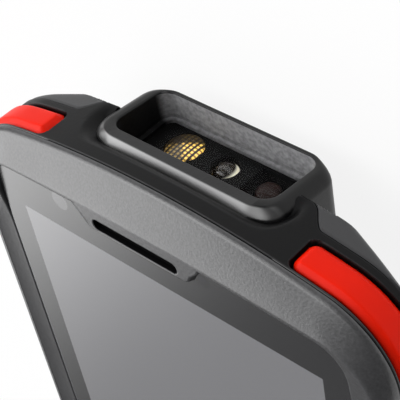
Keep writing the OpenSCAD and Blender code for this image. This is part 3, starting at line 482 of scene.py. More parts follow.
def lathe(profile, centre, axis, count):
    # each radius and height of the profile turned round an axis through the centre; ends on the axis close it
    profile = np.array(profile, float)
    angle = np.linspace(0, 2 * math.pi, count, endpoint=False)
    radius, height = profile[:, :1], profile[:, 1:]
    across, along = radius * np.cos(angle), radius * np.sin(angle)
    height = np.broadcast_to(height, across.shape)
    order = {"z": (across, along, height), "x": (height, across, along), "y": (along, height, across)}[axis]
    points = np.stack(order, axis=-1) + np.array(centre)
    return points.reshape(-1, 3), gridFaces(len(profile), count)


def circleRing(x, y, radius):
    # ring of points round a circle
    angle = np.linspace(0, 2 * math.pi, 32, endpoint=False)
    return np.stack([x + radius * np.cos(angle), y + radius * np.sin(angle)], axis=-1)


def roundRect(halfA, halfB, radius, corner):
    # ring of points of a round-cornered rectangle, the same number for every size
    angle = np.linspace(0, math.pi / 2, corner + 1)
    ring = []
    for quarter, (signA, signB) in enumerate(((1, 1), (-1, 1), (-1, -1), (1, -1))):
        swung = angle + quarter * math.pi / 2
        ring.append(np.stack([signA * (halfA - radius) + radius * np.cos(swung),
                              signB * (halfB - radius) + radius * np.sin(swung)], axis=-1))
    return np.concatenate(ring)


def atLevel(ring, level):
    # ring or spots in x and y with a height, the same for all or one for each
    return np.column_stack([ring, np.full(len(ring), level)])


def flatPlace(x, y):
    # turns a ring and a level into places on a piece that lies flat, with its middle at x and y
    def place(a, b, level):
        return np.stack([x + a, y + b, np.full(len(a), level)], axis=-1)
    return place


def endPlace(x, z):
    # the same for a piece that stands across the device, its levels measured along y
    def place(a, b, level):
        return np.stack([x + a, np.full(len(a), level), z + b], axis=-1)
    return place


def stackRings(rings, capLow=False, capHigh=False):
    # surface through a row of rings, with a polygon over the first and the last where asked
    count = len(rings[0])
    faces = gridFaces(len(rings), count).tolist()
    if capLow:
        faces.append(list(range(count)))
    if capHigh:
        faces.append(list(range((len(rings) - 1) * count, len(rings) * count)))
    return np.concatenate(rings), faces


def rectStack(sections, place, corner, capLow=True, capHigh=True):
    # rounded rectangles (half sizes, radius, level) joined in order; place turns ring and level into points
    return stackRings([place(*roundRect(a, b, radius, corner).T, level) for a, b, radius, level in sections],
                      capLow, capHigh)


def roundedEdge(halfA, halfB, radius, level, size, steps=5, sign=1):
    # sections of a quarter-round edge that ends flat at a level, and one more a little further in
    angle = np.linspace(0, math.pi / 2, steps)
    insets = np.append(size * (1 - np.cos(angle)), size + 0.3)
    drops = np.append(size * (1 - np.sin(angle)), 0)
    return [(halfA - inset, halfB - inset, max(radius - inset, 0.05), level - sign * drop)
            for inset, drop in zip(insets, drops)]


def insideRing(spots, ring):
    # even number of crossings means outside
    x, y = spots[:, :1], spots[:, 1:]
    x0, y0 = ring[:, 0], ring[:, 1]
    x1, y1 = np.roll(x0, -1), np.roll(y0, -1)
    crosses = (y0 > y) != (y1 > y)
    with np.errstate(divide="ignore", invalid="ignore"):
        at = x0 + (y - y0) * (x1 - x0) / (y1 - y0)
    return ((crosses & (x < at)).sum(axis=1) % 2) == 1


def plateFaces(outer, holes):
    # triangles of a flat region between an outer ring and its holes, on the rings' own points
    rings = [outer] + holes
    edges, base = [], 0
    for ring in rings:
        index = np.arange(len(ring))
        edges.append(np.stack([base + index, base + np.roll(index, -1)], axis=-1))
        base += len(ring)
    spots = [Vector(spot) for spot in np.concatenate(rings).tolist()]
    found = delaunay_2d_cdt(spots, np.concatenate(edges).tolist(), [], 0, 1e-6)
    places = np.array([tuple(spot) for spot in found[0]])
    triangles = np.array([face for face in found[2] if len(face) == 3])
    middle = places[triangles].mean(axis=1)
    keep = insideRing(middle, outer)
    for hole in holes:
        keep &= ~insideRing(middle, hole)
    return places, triangles[keep]


# Body outline: arched ends, round corners and straight sides
body = {"halfW": 40.0, "end": 78.0, "arch": 156.0, "corner": 13.0, "fixed": 20.0, "side": 62.43,
        "turn": 29.45}
seam = {"level": 12.0, "rise": 3.3, "fromX": (19.2, 4), "fromY": (50, 12), "gap": 0.03}


def planRing(tops, lows, along, bend):
    # columns of a ring by quarters: kind 0 at a fixed x, 1 on to the corner, 2 round the corner, 3 along the
    # side; up the right side to the scanner end, over it, down the left side, along the lower end and back
    quarters = []
    for (fixed, side), signX, signY, flip in ((tops, 1, 1, True), (tops, -1, 1, False),
                                              (lows, -1, -1, True), (lows, 1, -1, False)):
        parts = [fixed[1:] if flip else fixed, along, bend, side]
        kind = np.repeat([0, 1, 2, 3], [len(part) for part in parts])
        quarter = np.stack([kind, np.concatenate(parts), 0 * kind + signX, 0 * kind + signY])
        quarters.append(quarter[:, ::-1] if flip else quarter)
    return np.concatenate(quarters, axis=1)


def planBody():
    # columns that are finer where the hood, the bumpers, the keys and the port cover end
    fixed, side, turn = body["fixed"], body["side"], body["turn"]
    upper = gradedLines(0, side, 1.6, 0.22, [36, 25, 22.5, 1.5], 1.2)[:-1]
    lower = gradedLines(0, side, 1.6, 0.22, [1, 8, 10.5, 12.5, 15, 21, 23.5, 25.5, 28], 1.0)[1:]
    tops = gradedLines(0, fixed, 1.0, 0.25, [18.4], 1.0), 1 - upper[::-1] / side
    lows = gradedLines(0, fixed, 1.0, 0.2, [8.3], 0.7), 1 - lower[::-1] / side
    along = (gradedLines(fixed, turn, 0.45, 0.2, [23.2], 0.8)[1:] - fixed) / (turn - fixed)
    return planRing(tops, lows, along, np.linspace(0, 1, 42)[1:])


plan = planBody()


def outlineAt(plan, halfW, high, low, arch, corner):
    # arched, round-cornered outline: place and outward direction of every column, for sizes in rows too
    kind, share, signX, signY = plan
    end = np.where(signY > 0, high, low)
    turn = np.arcsin((halfW - corner) / (arch - corner))
    reach = arch * np.sin(turn)
    middle = end - arch + (arch - corner) * np.cos(turn)
    angle = turn + (math.pi / 2 - turn) * share
    x = np.select([kind == 0, kind == 1, kind == 2], [
        share + 0 * halfW, body["fixed"] + (reach - body["fixed"]) * share,
        halfW - corner + corner * np.sin(angle)], halfW + 0 * share)
    onArch = end - arch + np.sqrt(np.maximum(arch ** 2 - x ** 2, 0))
    y = np.select([kind <= 1, kind == 2], [onArch, middle + corner * np.cos(angle)], middle * (1 - share))
    outX = np.select([kind <= 1, kind == 2], [x / arch, np.sin(angle)], 1.0 + 0 * x)
    outY = np.sqrt(np.maximum(1 - outX ** 2, 0))
    return signX * x, signY * y, signX * outX, signY * outY


bodyRing = outlineAt(plan, body["halfW"], body["end"], body["end"], body["arch"], body["corner"])
ringX, ringY, ringOutX, ringOutY = bodyRing
ringRun = np.concatenate([[0], np.cumsum(np.hypot(np.diff(ringX), np.diff(ringY)))])
seamLevel = seam["level"] + seam["rise"] * ramp(np.abs(ringX), *seam["fromX"]) * ramp(ringY, *seam["fromY"])


def runAtX(x):
    # run length of the outline at a given x on the scanner end
    choice = np.where(ringY > 0)[0]
    return ringRun[choice[np.argmin(np.abs(ringX[choice] - x))]]


def runAtY(y, side):
    # run length of the outline at a given y on one side
    choice = np.where(side * ringX > body["turn"])[0]
    return ringRun[choice[np.argmin(np.abs(ringY[choice] - y))]]


bevel = {"turn": math.radians(38.5), "rise": math.tan(math.radians(62)), "reach": 72.99, "level": 15.0,
         "over": 0.3, "soft": 0.5}


def cutCorners(x, y, z):
    # both corners by the scanner end are pushed back behind a slanting plane, over a soft edge
    outX, outY = math.cos(bevel["turn"]), math.sin(bevel["turn"])
    limit = bevel["reach"] + bevel["rise"] * (np.minimum(z, bevel["level"]) - bevel["level"])
    past = outX * np.abs(x) + outY * y - limit
    past = np.where((z < bevel["level"] + bevel["over"]) & (y > 0), past, -9)
    push = bevel["soft"] * np.logaddexp(0, past / bevel["soft"])
    return x - np.sign(x) * outX * push, y - outY * push


# Middle housing, with its pockets
midWall = {"rows": 72, "top": 22.84, "edge": 0.34, "inset": 1.7, "hoodBack": 1.2, "hoodHalf": 19, "hoodY": 60,
           "hoodGap": 0.9}
bumper = {"level": 19.5, "half": 2.5, "round": 1.3, "start": 23.2, "stop": 36.0, "gap": 0.35, "deep": 1.4,
          "bank": (0.1, -0.3)}
sideKeys = [("right_scan_key", 1, 12.0, 26.0), ("left_scan_key", -1, 12.0, 26.0),
            ("power_key", 1, -18.0, 11.0), ("volume_rocker", -1, -18.0, 20.0)]
keyShape = {"level": 17.5, "half": 2.5, "gap": 0.3, "deep": 1.6, "bank": (0.1, -0.28)}
portPocket = {"level": 15.9, "halfX": 8.3, "halfZ": 3.25, "round": 0.9, "deep": 1.5, "bank": (0.1, -0.25)}
hollow = {"foot": 2.0, "wall": 75.75, "start": 0.2, "reach": 1.9, "wider": 0.9, "up": (15.0, 3.5),
          "inward": (20.5, -4), "curve": 0.8, "fade": (11.6, 4)}


def hoodAway(x, z):
    # distance to the hood's outline where it leaves the housing, carried on downwards below the seam
    middle = (hood["high"] + hollow["foot"]) / 2
    return roundBox(x, z - middle, hood["baseHalf"], hood["high"] - middle, hood["round"])


def hoodDip(x, z):
    # depth of the hollow round the hood: full beside it, easing out to the arched face
    wider = hollow["wider"] * ramp(z, *hollow["up"]) * ramp(np.abs(x), *hollow["inward"])
    full = body["end"] - x ** 2 / (2 * body["arch"]) - hollow["wall"]
    ease = np.clip((hoodAway(x, z) - hollow["start"]) / (hollow["reach"] + wider), 0, 1)
    return full * (1 - smooth(ease ** hollow["curve"])) * ramp(z, *hollow["fade"])


def bumperRun(side):
    # middle and half length of a bumper along the outline
    ends = runAtX(side * bumper["start"]), runAtY(bumper["stop"], side)
    return sum(ends) / 2, abs(ends[1] - ends[0]) / 2


def makeMidHousing():
    # wall: outline pushed inwards by pockets for bumpers, keys, port cover and the hollow round the hood
    low, edge = seamLevel + seam["gap"], midWall["edge"]
    z = low + (midWall["top"] - low) * np.linspace(0, 1, midWall["rows"])[:, None]
    x, y, run = [np.broadcast_to(part, z.shape) for part in (ringX, ringY, ringRun)]
    lip = np.minimum((z - low) * 2, midWall["top"] - z)
    depth = edge - np.sqrt(np.maximum(edge ** 2 - np.maximum(edge - lip, 0) ** 2, 0))
    for side in (1, -1):
        at, half = bumperRun(side)
        away = roundBox(run - at, z - bumper["level"], half + bumper["gap"], bumper["half"] + bumper["gap"],
                        bumper["round"])
        depth = np.maximum(depth, bumper["deep"] * ramp(away, *bumper["bank"]))
    for _, side, centre, length in sideKeys:
        gap, half = keyShape["gap"], keyShape["half"] + keyShape["gap"]
        away = roundBox(run - runAtY(centre, side), z - keyShape["level"], length / 2 + gap, half, half)
        depth = np.maximum(depth, keyShape["deep"] * ramp(away, *keyShape["bank"]))
    away = roundBox(x, z - portPocket["level"], portPocket["halfX"], portPocket["halfZ"], portPocket["round"])
    depth = np.maximum(depth, np.where(y < 0, portPocket["deep"] * ramp(away, *portPocket["bank"]), 0))
    dip = np.where(y > midWall["hoodY"], hoodDip(x, z), 0)
    # the hollow round the hood is pressed straight in, every other pocket square to the outline
    straight = (dip >= depth - 1e-6) & (dip > 0.02)
    wall = np.stack([np.where(straight, x, x - ringOutX * depth),
                     np.where(straight, y - dip, y - ringOutY * depth), z], axis=-1)
    inX, inY = ringX - ringOutX * midWall["inset"], ringY - ringOutY * midWall["inset"]
    behind = (ringY > midWall["hoodY"]) & (np.abs(ringX) < midWall["hoodHalf"])
    base = np.stack([np.where(behind, wall[0, :, 0], inX),
                     np.where(behind, wall[0, :, 1] - midWall["hoodBack"], inY), low], axis=-1)
    top = np.stack([inX, inY, np.full(len(inX), midWall["top"])], axis=-1)
    points = np.concatenate([base, wall.reshape(-1, 3), top])
    faces = gridFaces(midWall["rows"] + 2, len(ringX))
    centre = points[faces].mean(axis=1)
    opening = (centre[:, 1] > midWall["hoodY"]) & (hoodAway(centre[:, 0], centre[:, 2]) < -midWall["hoodGap"])
    addPiece("mid_shell", [(points, faces[~opening])], "mid", ["mid_housing"])


makeMidHousing()
print("middle housing")

# Rear housing: sizes of the outline at levels from the flat back up to the seam
rearLevels = np.array([0.0, 1.6, 6.24, 12.0])
rearSizes = {"halfW": np.array([33.5, 36.4, 39.1, 40.0]), "high": np.array([45.0, 50.28, 61.5, 78.0]),
             "low": np.array([71.5, 74.4, 77.1, 78.0]), "corner": np.array([6.5, 9.4, 12.1, 13.0])}
rearWall = {"rows": 90, "crowd": 0.9, "edge": 0.12, "topInset": 1.6, "backInset": 0.3, "dipY": 56,
            "hoodY": 56.8, "hoodGap": 1.1, "hoodRise": 3, "sill": 0.25}
bay = {"x": 27.2, "low": -42.4, "high": 33.3, "round": 1.6, "notchX": 7.0, "notchY": 39.3, "notchRound": 2.6,
       "ledge": 2.3, "floor": 14.9, "pack": (0.0, -3.0, 25.4, 33.4, 2.0),
       "trough": (0.0, -39.95, 27.05, 1.9, 0.3), "troughFloor": 3.9}
# rim (growth, edge, lip, depth), whether there is a base, and the openings: circles or rounded rectangles
backHoles = {
    "bay": ((0.6, 0.3, 0.08, 2.3), False, ["bay"]),
    "camera": ((0.5, 0.25, 0.06, 0.6), False, [(-19.0, 37.8, 3.7)]),
    "flash": ((0.4, 0.2, 0.05, 0.5), False, [(-10.0, 37.8, 2.15)]),
    "wells": ((0.4, 0.2, 0.05, 1.5), True, [(x, y, 2.0) for x in (-30.6, 30.6) for y in (28, -32, -62)]),
    "slots": ((0.3, 0.15, 0.04, 1.3), False, [(-9.0, -64.0 + 1.9 * i, 7.0, 0.5, 0.49) for i in range(-2, 3)]),
    "contacts": ((0.38, 0.2, 0.05, 1.0), False, [(11 + x, -64.0, 1.45) for x in (-5.7, -1.9, 1.9, 5.7)]),
    "straps": ((0.6, 0.3, 0.08, 4.0), True, [(x, -64.0, 1.05) for x in (-22.0, 22.0)]),
}


def throughPoints(at, levels, values):
    # smooth curve through points that never overshoots: cubic pieces with harmonic slopes
    step, rise = np.diff(levels), np.diff(values)
    slope = rise / step
    inner = np.where(slope[1:] * slope[:-1] > 0, 2 * slope[1:] * slope[:-1] / (slope[1:] + slope[:-1]), 0)
    ends = np.concatenate([[slope[0]], inner, [slope[-1]]])
    at = np.clip(at, levels[0], levels[-1])
    low = np.clip(np.searchsorted(levels, at, side="right") - 1, 0, len(step) - 1)
    t = (at - levels[low]) / step[low]
    return ((2 * t ** 3 - 3 * t ** 2 + 1) * values[low] + (t ** 3 - 2 * t ** 2 + t) * step[low] * ends[low]
            + (3 * t ** 2 - 2 * t ** 3) * values[low + 1] + (t ** 3 - t ** 2) * step[low] * ends[low + 1])


def bayRing(grow):
    # round-cornered opening with a finger notch in its upper side
    half, corner = (bay["high"] - bay["low"]) / 2, 6
    ring = roundRect(bay["x"] + grow, half + grow, bay["round"], corner) + [0, bay["low"] + half]
    side, top, bend = bay["notchX"] + grow, bay["notchY"] + grow, bay["notchRound"]
    arc = np.linspace(0, math.pi / 2, 7)
    right = np.stack([side - bend + bend * np.cos(arc), top - bend + bend * np.sin(arc)], axis=-1)
    foot = np.array([[side, bay["high"] + grow]])
    return np.concatenate([ring[:corner + 1], foot, right, right[::-1] * [-1, 1], foot * [-1, 1],
                           ring[corner + 1:]])


def grownRing(shape, grow):
    # ring of an opening, drawn larger
    if shape == "bay":
        return bayRing(grow)
    if len(shape) == 3:
        return circleRing(shape[0], shape[1], shape[2] + grow)
    x, y, halfA, halfB, radius = shape
    return roundRect(halfA + grow, halfB + grow, max(radius + grow, 0.05), 6) + [x, y]


def holeWall(shape, profile, base):
    # rim, wall and perhaps base of a hole: the ring at each growth and level in turn
    return stackRings([atLevel(grownRing(shape, grow), level) for grow, level in profile], capHigh=base)


def backPlate(outer, holes, level):
    # flat face turned to the back, round its holes
    places, triangles = plateFaces(outer, holes)
    return atLevel(places, level), triangles[:, ::-1]


def makeRearHousing():
    # shell lofted from the seam down to the flat back, then the back cut with its openings
    top, edge = seamLevel - seam["gap"], rearWall["edge"]
    z = top * (1 - np.linspace(0, 1, rearWall["rows"])[:, None] ** rearWall["crowd"])
    size = {key: throughPoints(z, rearLevels, values) for key, values in rearSizes.items()}
    x, y, outX, outY = outlineAt(plan, size["halfW"], size["high"], size["low"], body["arch"], size["corner"])
    x, y = cutCorners(x, y, z)
    inset = edge - np.sqrt(edge ** 2 - np.maximum(edge - (top - z), 0) ** 2)
    x, y = x - outX * inset, y - outY * inset
    y = y - np.where(y > rearWall["dipY"], hoodDip(x, z), 0)
    wall = np.stack([x, y, z], axis=-1)
    out = np.stack([outX, outY, 0 * outX], axis=-1)
    back = wall[-1] - rearWall["backInset"] * out[-1]
    points = np.concatenate([wall[0] - rearWall["topInset"] * out[0], wall.reshape(-1, 3), back])
    faces = gridFaces(rearWall["rows"] + 2, len(ringX))
    centre = points[faces].mean(axis=1)
    half = (hood["high"] - hood["low"]) / 2
    inside = roundBox(centre[:, 0], centre[:, 2] - hood["low"] - half, hood["baseHalf"],
                      half + rearWall["hoodRise"], hood["round"])
    opening = (centre[:, 1] > rearWall["hoodY"]) & (inside < -rearWall["hoodGap"]) \
        & (centre[:, 2] > hood["low"] + rearWall["sill"])
    holes, parts = [], [(points, faces[~opening])]
    for (grow, bend, lip, deep), base, shapes in backHoles.values():
        for shape in shapes:
            holes.append(grownRing(shape, grow))
            parts.append(holeWall(shape, [(grow, 0), (bend, 0), (lip, lip), (0, bend), (0, deep)], base))
    parts.append(backPlate(back[:, :2], holes, 0.0))
    # ledge that the door lies on, the pack's well and the hinge's trough
    wells = [grownRing(bay[shape], 0) for shape in ("pack", "trough")]
    parts.append(backPlate(bayRing(0), wells, bay["ledge"]))
    for shape, deep in (("pack", "floor"), ("trough", "troughFloor")):
        parts.append(holeWall(bay[shape], [(0, bay["ledge"]), (0, bay[deep])], True))
    addPiece("rear_shell", parts, "rear", ["rear_housing"])


makeRearHousing()
print("rear housing")

# Scanner hood, its lining and its ledge
hoodEdge = {"corner": 12, "round": 0.3, "shoulder": 1.9, "rise": 1.15, "step": 0.28, "lead": 1.2,
            "levels": (75.2, 73.0, 66.0, 58.0), "sideways": (0.35, 0.6), "upwards": (0.2, 0.6),
            "at": [0, 0.12, 0.88, 1], "slant": [0, 0.06, 0.97, 1], "fall": [0, 0.03, 0.86, 1]}
# level (none where the ring follows the rim), half width, low and high edge, radius
hoodLining = [(None, 14.85, 4.8, 16.0, 2.4), (74.0, 14.85, 4.8, 16.0, 2.4), (72.4, 14.8, 4.85, 15.95, 2.35),
              (71.6, 14.8, 4.85, 15.95, 2.35), (71.5, 14.05, 5.4, 15.6, 1.6), (66.0, 14.05, 5.4, 15.6, 1.6)]
ledge = {"low": 2.0, "edge": 0.25, "foot": 73.5, "insetX": 0.6, "insetZ": 1.8, "round": 2.6}


def rimPlane(z):
    # how far out the leaning rim lies at a height
    return hood["rimY"] - (hood["high"] - z) * hood["tilt"]


def makeHood():
    # outside: rim, swelling shoulders at the sides, slope on top, then straight back into the housing
    corner = hoodEdge["corner"]
    centre, high = (hood["low"] + hood["high"]) / 2, (hood["high"] - hood["low"]) / 2
    normal = roundRect(1.0, 1.0, 1.0, corner)
    normal /= np.linalg.norm(normal, axis=1)[:, None]
    sideways = ramp(np.abs(normal[:, 0]), *hoodEdge["sideways"])
    upwards = ramp(normal[:, 1], *hoodEdge["upwards"])
    swell = (hood["baseHalf"] - hood["rimHalf"]) * sideways
    outside = []
    for share in np.concatenate([np.linspace(0, 0.12, 4), np.linspace(0.2, 0.8, 5), np.linspace(0.88, 1, 4)]):
        turn = share * math.pi / 2
        slant, fall = [np.interp(share, hoodEdge["at"], hoodEdge[part]) for part in ("slant", "fall")]
        depth = sideways * hoodEdge["shoulder"] + (1 - sideways) * (1 - upwards) * hoodEdge["round"]
        drop = depth * (1 - math.cos(turn)) * (1 - upwards) + upwards * hood["slope"] * fall
        inset = (1 - math.sin(turn)) * hoodEdge["round"] * (1 - upwards)
        base = roundRect(hood["rimHalf"], high, hood["round"], corner) - normal * inset[:, None]
        x = base[:, 0] + np.sign(base[:, 0]) * swell * math.sin(turn)
        z = centre + base[:, 1] + upwards * hoodEdge["rise"] * slant
        outside.append(np.stack([x, rimPlane(np.minimum(z, hood["high"])) - drop, z], axis=-1))
    x, y, z = outside[-1].T
    outside += [np.stack([x, np.minimum(y, level), z], axis=-1) for level in hoodEdge["levels"]]
    # rim face and the rounded step into the opening
    openCentre, openHigh = (hood["openLow"] + hood["openHigh"]) / 2, (hood["openHigh"] - hood["openLow"]) / 2
    inner = []
    for turn in np.linspace(0, math.pi / 2, 5):
        grow, drop = hoodEdge["step"] * (1 - math.sin(turn)), hoodEdge["step"] * (1 - math.cos(turn))
        base = roundRect(hood["openHalf"] + grow, openHigh + grow, hood["openRound"] + grow, corner)
        z = openCentre + base[:, 1]
        inner.append(np.stack([base[:, 0], rimPlane(z) - drop, z], axis=-1))
    addPiece("hood_shell", [stackRings(inner[::-1] + outside)], "hood", ["scanner_hood"])
    # lining: tapering walls of the opening, a step at the window, and the chamber behind it
    deep = [inner[-1]]
    for level, half, low, high, radius in hoodLining:
        x, z = roundRect(half, (high - low) / 2, radius, corner).T
        z = (low + high) / 2 + z
        y = rimPlane(z) - hoodEdge["lead"] if level is None else np.full(len(z), level)
        deep.append(np.stack([x, y, z], axis=-1))
    addPiece("hood_lining", [flipped(*stackRings(deep))], "liner", [])
    # ledge that the hood stands on, its edge rounded
    middle, half = (hood["flangeHigh"] + ledge["low"]) / 2, (hood["flangeHigh"] - ledge["low"]) / 2
    level, size = hood["flangeY"], (hood["flangeHalf"], half, hood["flangeRound"])
    sections = [(hood["baseHalf"] - ledge["insetX"], half - ledge["insetZ"], ledge["round"], level),
                *roundedEdge(*size, level, ledge["edge"])[::-1], (*size, ledge["foot"])]
    points, faces = rectStack(sections, endPlace(0, middle), 10, False, False)
    faces = np.array(faces)
    faces = faces[points[faces].mean(axis=1)[:, 2] > hood["flangeLow"]]
    addPiece("hood_ledge", [(points, faces)], "mid", [])


makeHood()


# Scanner optics
def makeClearMaterial():
    # thin coated pane: mostly see-through, dark tint, sharp shine
    material = makeMaterial("windowGlass", (20, 20, 22), rough=0.1, spread=0.02, relief=0.0)
    material.node_tree.nodes["Principled BSDF"].inputs["Alpha"].default_value = 0.08
    return material


def paintedGlowPattern(material, share, tones, glow, strength):
    # colour that goes from one tone to the other with a share, and a painted glow given off with the same
    # share
    tree = material.node_tree
    shader = tree.nodes["Principled BSDF"]
    tree.links.new(mix(tree, share, *[colour(*tone) for tone in tones]), shader.inputs["Base Color"])
    tree.links.new(mix(tree, share, (0, 0, 0, 1), colour(*glow)), shader.inputs["Emission Color"])
    shader.inputs["Emission Strength"].default_value = strength
    return material


def makeGridMaterial():
    # reflector grid: rows of gold dashes on dark brown; the dashes carry a painted glow as glints,
    # and painted shade makes them dimmer to one side and at the bottom
    material = makeMaterial("goldGrid", (60, 38, 14), rough=0.3, relief=0.1, coat=1.0, coatRough=0.03)
    tree = material.node_tree
    place = objectPlace(tree)
    parts = addNode(tree, "SeparateXYZ", {"Vector": place}).outputs
    factors = []
    for axis, period, sharp, least in (("X", 0.78, -0.25, 0.0), ("Z", 0.66, -0.4, 0.25)):
        wave = calc(tree, "SINE", times(tree, parts[axis], 2 * math.pi / (period * mm)))
        factors.append(remap(tree, wave, sharp, sharp + 0.5, least))
    # painted shade: the dashes fade out towards one side and towards the bottom
    for direction, low, high, least in (((0.73, 0, -0.69), -12.7, -12.0, 0.22),
                                        ((0.55, 0, 0.84), 2.3, 3.0, 0.06)):
        along = measure(tree, "DOT_PRODUCT", place, direction)
        factors.append(remap(tree, along, low * mm, high * mm, least, soft=True))
    return paintedGlowPattern(material, times(tree, *factors), ((38, 24, 10), (255, 214, 110)), (255, 206, 96), 1.2)


def makeDomeMaterial():
    # clear bead over a dark barrel, with a painted highlight: a pale glowing crescent between two discs, on
    # one side
    material = makeMaterial("domeGlass", (40, 34, 24), rough=0.08, spread=0.02, relief=0.0, coat=1.0,
                            coatRough=0.02)
    tree = material.node_tree
    parts = addNode(tree, "SeparateXYZ", {"Vector": objectPlace(tree)}).outputs
    flat = addNode(tree, "CombineXYZ", {"X": parts["X"], "Z": parts["Z"]}).outputs[0]
    highlightDiscs = []
    # painted highlight: the crescent of light that the bead would catch, drawn between two discs
    for x, z, inner, outer in ((-0.5, 9.15, 1.85, 2.3), (0.1, 9.0, 2.1, 1.75)):
        away = measure(tree, "DISTANCE", flat, (x * mm, 0, z * mm))
        highlightDiscs.append(remap(tree, away, inner * mm, outer * mm, soft=True))
    return paintedGlowPattern(material, times(tree, *highlightDiscs), ((46, 38, 27), (226, 222, 200)), (226, 222, 200), 0.9)


looks["bead"] = makeDomeMaterial()
looks["window"] = makeClearMaterial()
looks["grid"] = makeGridMaterial()
pane = [(14.7, 5.45, 2.2, 71.53), (14.75, 5.5, 2.25, 71.6), (14.75, 5.5, 2.25, 72.25),
        (14.65, 5.4, 2.15, 72.33)]
# opening, depth of its wall, and how much smaller it is at the bottom
recesses = [((-8.0, 9.0, 3.15), 0.9, 0), ((0.0, 9.0, 2.35), 0.9, 0), ((8.0, 9.0, 3.4, 3.0, 0.5), 3.4, 0.9)]
# radius and height of the lenses' bulge, then each lens with its node, its width and height and its look
bulge = [(0.0, 0.62), (0.9, 0.58), (1.6, 0.47), (2.2, 0.31), (2.6, 0.16), (2.85, 0.02), (3.0, -0.35)]
lenses = [("lamp_lens", "illumination_lens", 1.0, 0.5, "grid"),
          ("dome_lens", "aimer_lens", 0.73, 2.2, "bead"),
          ("brown_lens", "imager_lens", 0.66, 1.2, "lensBrown")]


def makeOptics():
    # window pane, fascia with stepped recesses, and the three lenses
    sheet = rectStack(pane, endPlace(0, (hood["openLow"] + hood["openHigh"]) / 2), 8)
    addPiece("scan_pane", [sheet], "window", ["scan_window"], keepSide=False)
    low, high, middle = nodeBox("engine_fascia")
    half = (high - low) / 2
    outer = roundRect(half[0], half[2], 1.2, 6) + middle[[0, 2]]
    rings = [grownRing(shape, 0) for shape, _, _ in recesses]
    places, triangles = plateFaces(outer, rings)
    place = endPlace(0, 0)
    parts = [(place(*places.T, high[1]), triangles[:, ::-1])]
    for ring, (_, deep, shrink) in zip(rings, recesses):
        centre = ring.mean(axis=0)
        inner = centre + (ring - centre) * (1 - shrink / 3.2)
        parts.append(stackRings([place(*ring.T, high[1]), place(*inner.T, high[1] - deep)]))
    addPiece("optic_plate", parts, "plate", ["engine_fascia"])
    for name, node, scale, rise, look in lenses:
        low, high, middle = nodeBox(node)
        base = high[1] - bulge[0][1] * rise
        profile = [(radius * scale, base + height * rise) for radius, height in bulge]
        profile = [(0.001, profile[0][1]), *profile[1:], (bulge[-1][0] * scale, low[1])]
        lens = lathe(profile, (middle[0], 0, middle[2]), "y", 48)
        addPiece(name, [lens], look, [node], keepSide=False)


makeOptics()
print("hood and optics")

# Front frame: sections of its sides, the glass opening, the tab with the earpiece slot, and the key openings
frameEdge = {"slope": 0.34, "round": 1.1, "start": 71.2, "stop": 72.2, "top": 26.0, "foot": 22.92,
             "tuck": 0.96, "footY": [77.72, 77.9], "footZ": [22.92, 22.95],
             "crestY": [71.75, 71.4, 71.15, 71.05, 70.95], "crestZ": [25.8, 25.91, 25.98, 26.0, 26.0],
             "levels": [22.9, 23.2, 23.85, 24.3, 24.85, 25.25, 25.62, 25.86, 25.97, 26.0],
             "halfW": [40.0, 40.0, 39.86, 39.72, 39.53, 39.35, 39.05, 38.75, 38.4, 38.1],
             "ends": [71.0, 71.5, 72.1, 73.0, 74.05, 75.7, 76.9, 77.72, 78.0],
             "arch": [500.0, 480.0, 440.0, 380.0, 312.0, 220.0, 175.0, 158.0, 156.0],
             "corner": [8.9, 9.5, 10.2, 11.0, 11.7, 12.3, 12.7, 12.95, 13.0]}
glassSize = {"halfW": 34.35, "high": 70.3, "low": 50.47, "arch": 500.0, "corner": 5.0, "level": 25.0,
             "gap": 0.42, "foot": 24.9}
glassLip = [(0.42, 26.0), (0.22, 26.0), (0.1, 25.96), (0.03, 25.88), (0.0, 25.75), (0.0, 24.9)]
glassEdge = [(-0.12, 23.95), (-0.06, 24.0), (-0.06, 24.9), (-0.12, 24.98), (-0.25, 25.0), (-0.6, 25.0)]
tab = {"ramp": -11.3, "rampRun": 4.4, "rampFall": 1.12, "lean": 2.4, "right": 8.0, "flare": 2.2,
       "low": 66.45, "high": 80, "corner": 1.2, "round": 0.4, "slotX": -2.5, "slotY": 68.0, "slotHalf": 8.3,
       "slotWide": 1.03, "slotFloor": 25.1, "slotEdge": 0.16}
keyHoles = [(x, -61.2, 7.3, 4.05, 2.7) for x in (-20.0, 0.0, 20.0)]
keyRim = [(0.6, 26.0), (0.25, 26.0), (0.1, 25.95), (0.02, 25.84), (0, 25.7), (0, 23.4)]


def planFrame():
    # cross-section over the scanner end: seam edge, quarter-round, even slope, soft crest; half width, end,
    # arch, corner and level of every section
    slope, radius, top = frameEdge["slope"], frameEdge["round"], frameEdge["top"]
    lean = math.atan(slope)
    angle = np.linspace(0.04, math.pi / 2 - lean, 8)
    centre = body["end"] - radius
    joinY = centre + radius * math.sin(lean)
    base = top - slope * (joinY - frameEdge["start"]) - radius * math.cos(lean)
    fall = np.linspace(joinY, frameEdge["stop"], 6)[1:]
    y = np.concatenate([frameEdge["footY"], centre + radius * np.cos(angle), fall, frameEdge["crestY"]])
    z = np.concatenate([frameEdge["footZ"], base + radius * np.sin(angle),
                        top - slope * (fall - frameEdge["start"]), frameEdge["crestZ"]])
    z = np.maximum(z, frameEdge["foot"] + 0.01 * np.arange(len(z)))
    halfW = np.interp(z, frameEdge["levels"], frameEdge["halfW"])
    halfW[:2] -= [0.28, 0.1]
    halfW[-1] -= 0.3
    arch, corner = [np.interp(y, frameEdge["ends"], frameEdge[part]) for part in ("arch", "corner")]
    return zip(halfW, y, arch, corner, z)


glassColumns = (np.linspace(0, 20, 21), np.linspace(0, 1, 52)[1:-1])
glassPlan = planRing(glassColumns, glassColumns, np.linspace(0, 1, 13)[1:], np.linspace(0, 1, 11)[1:])


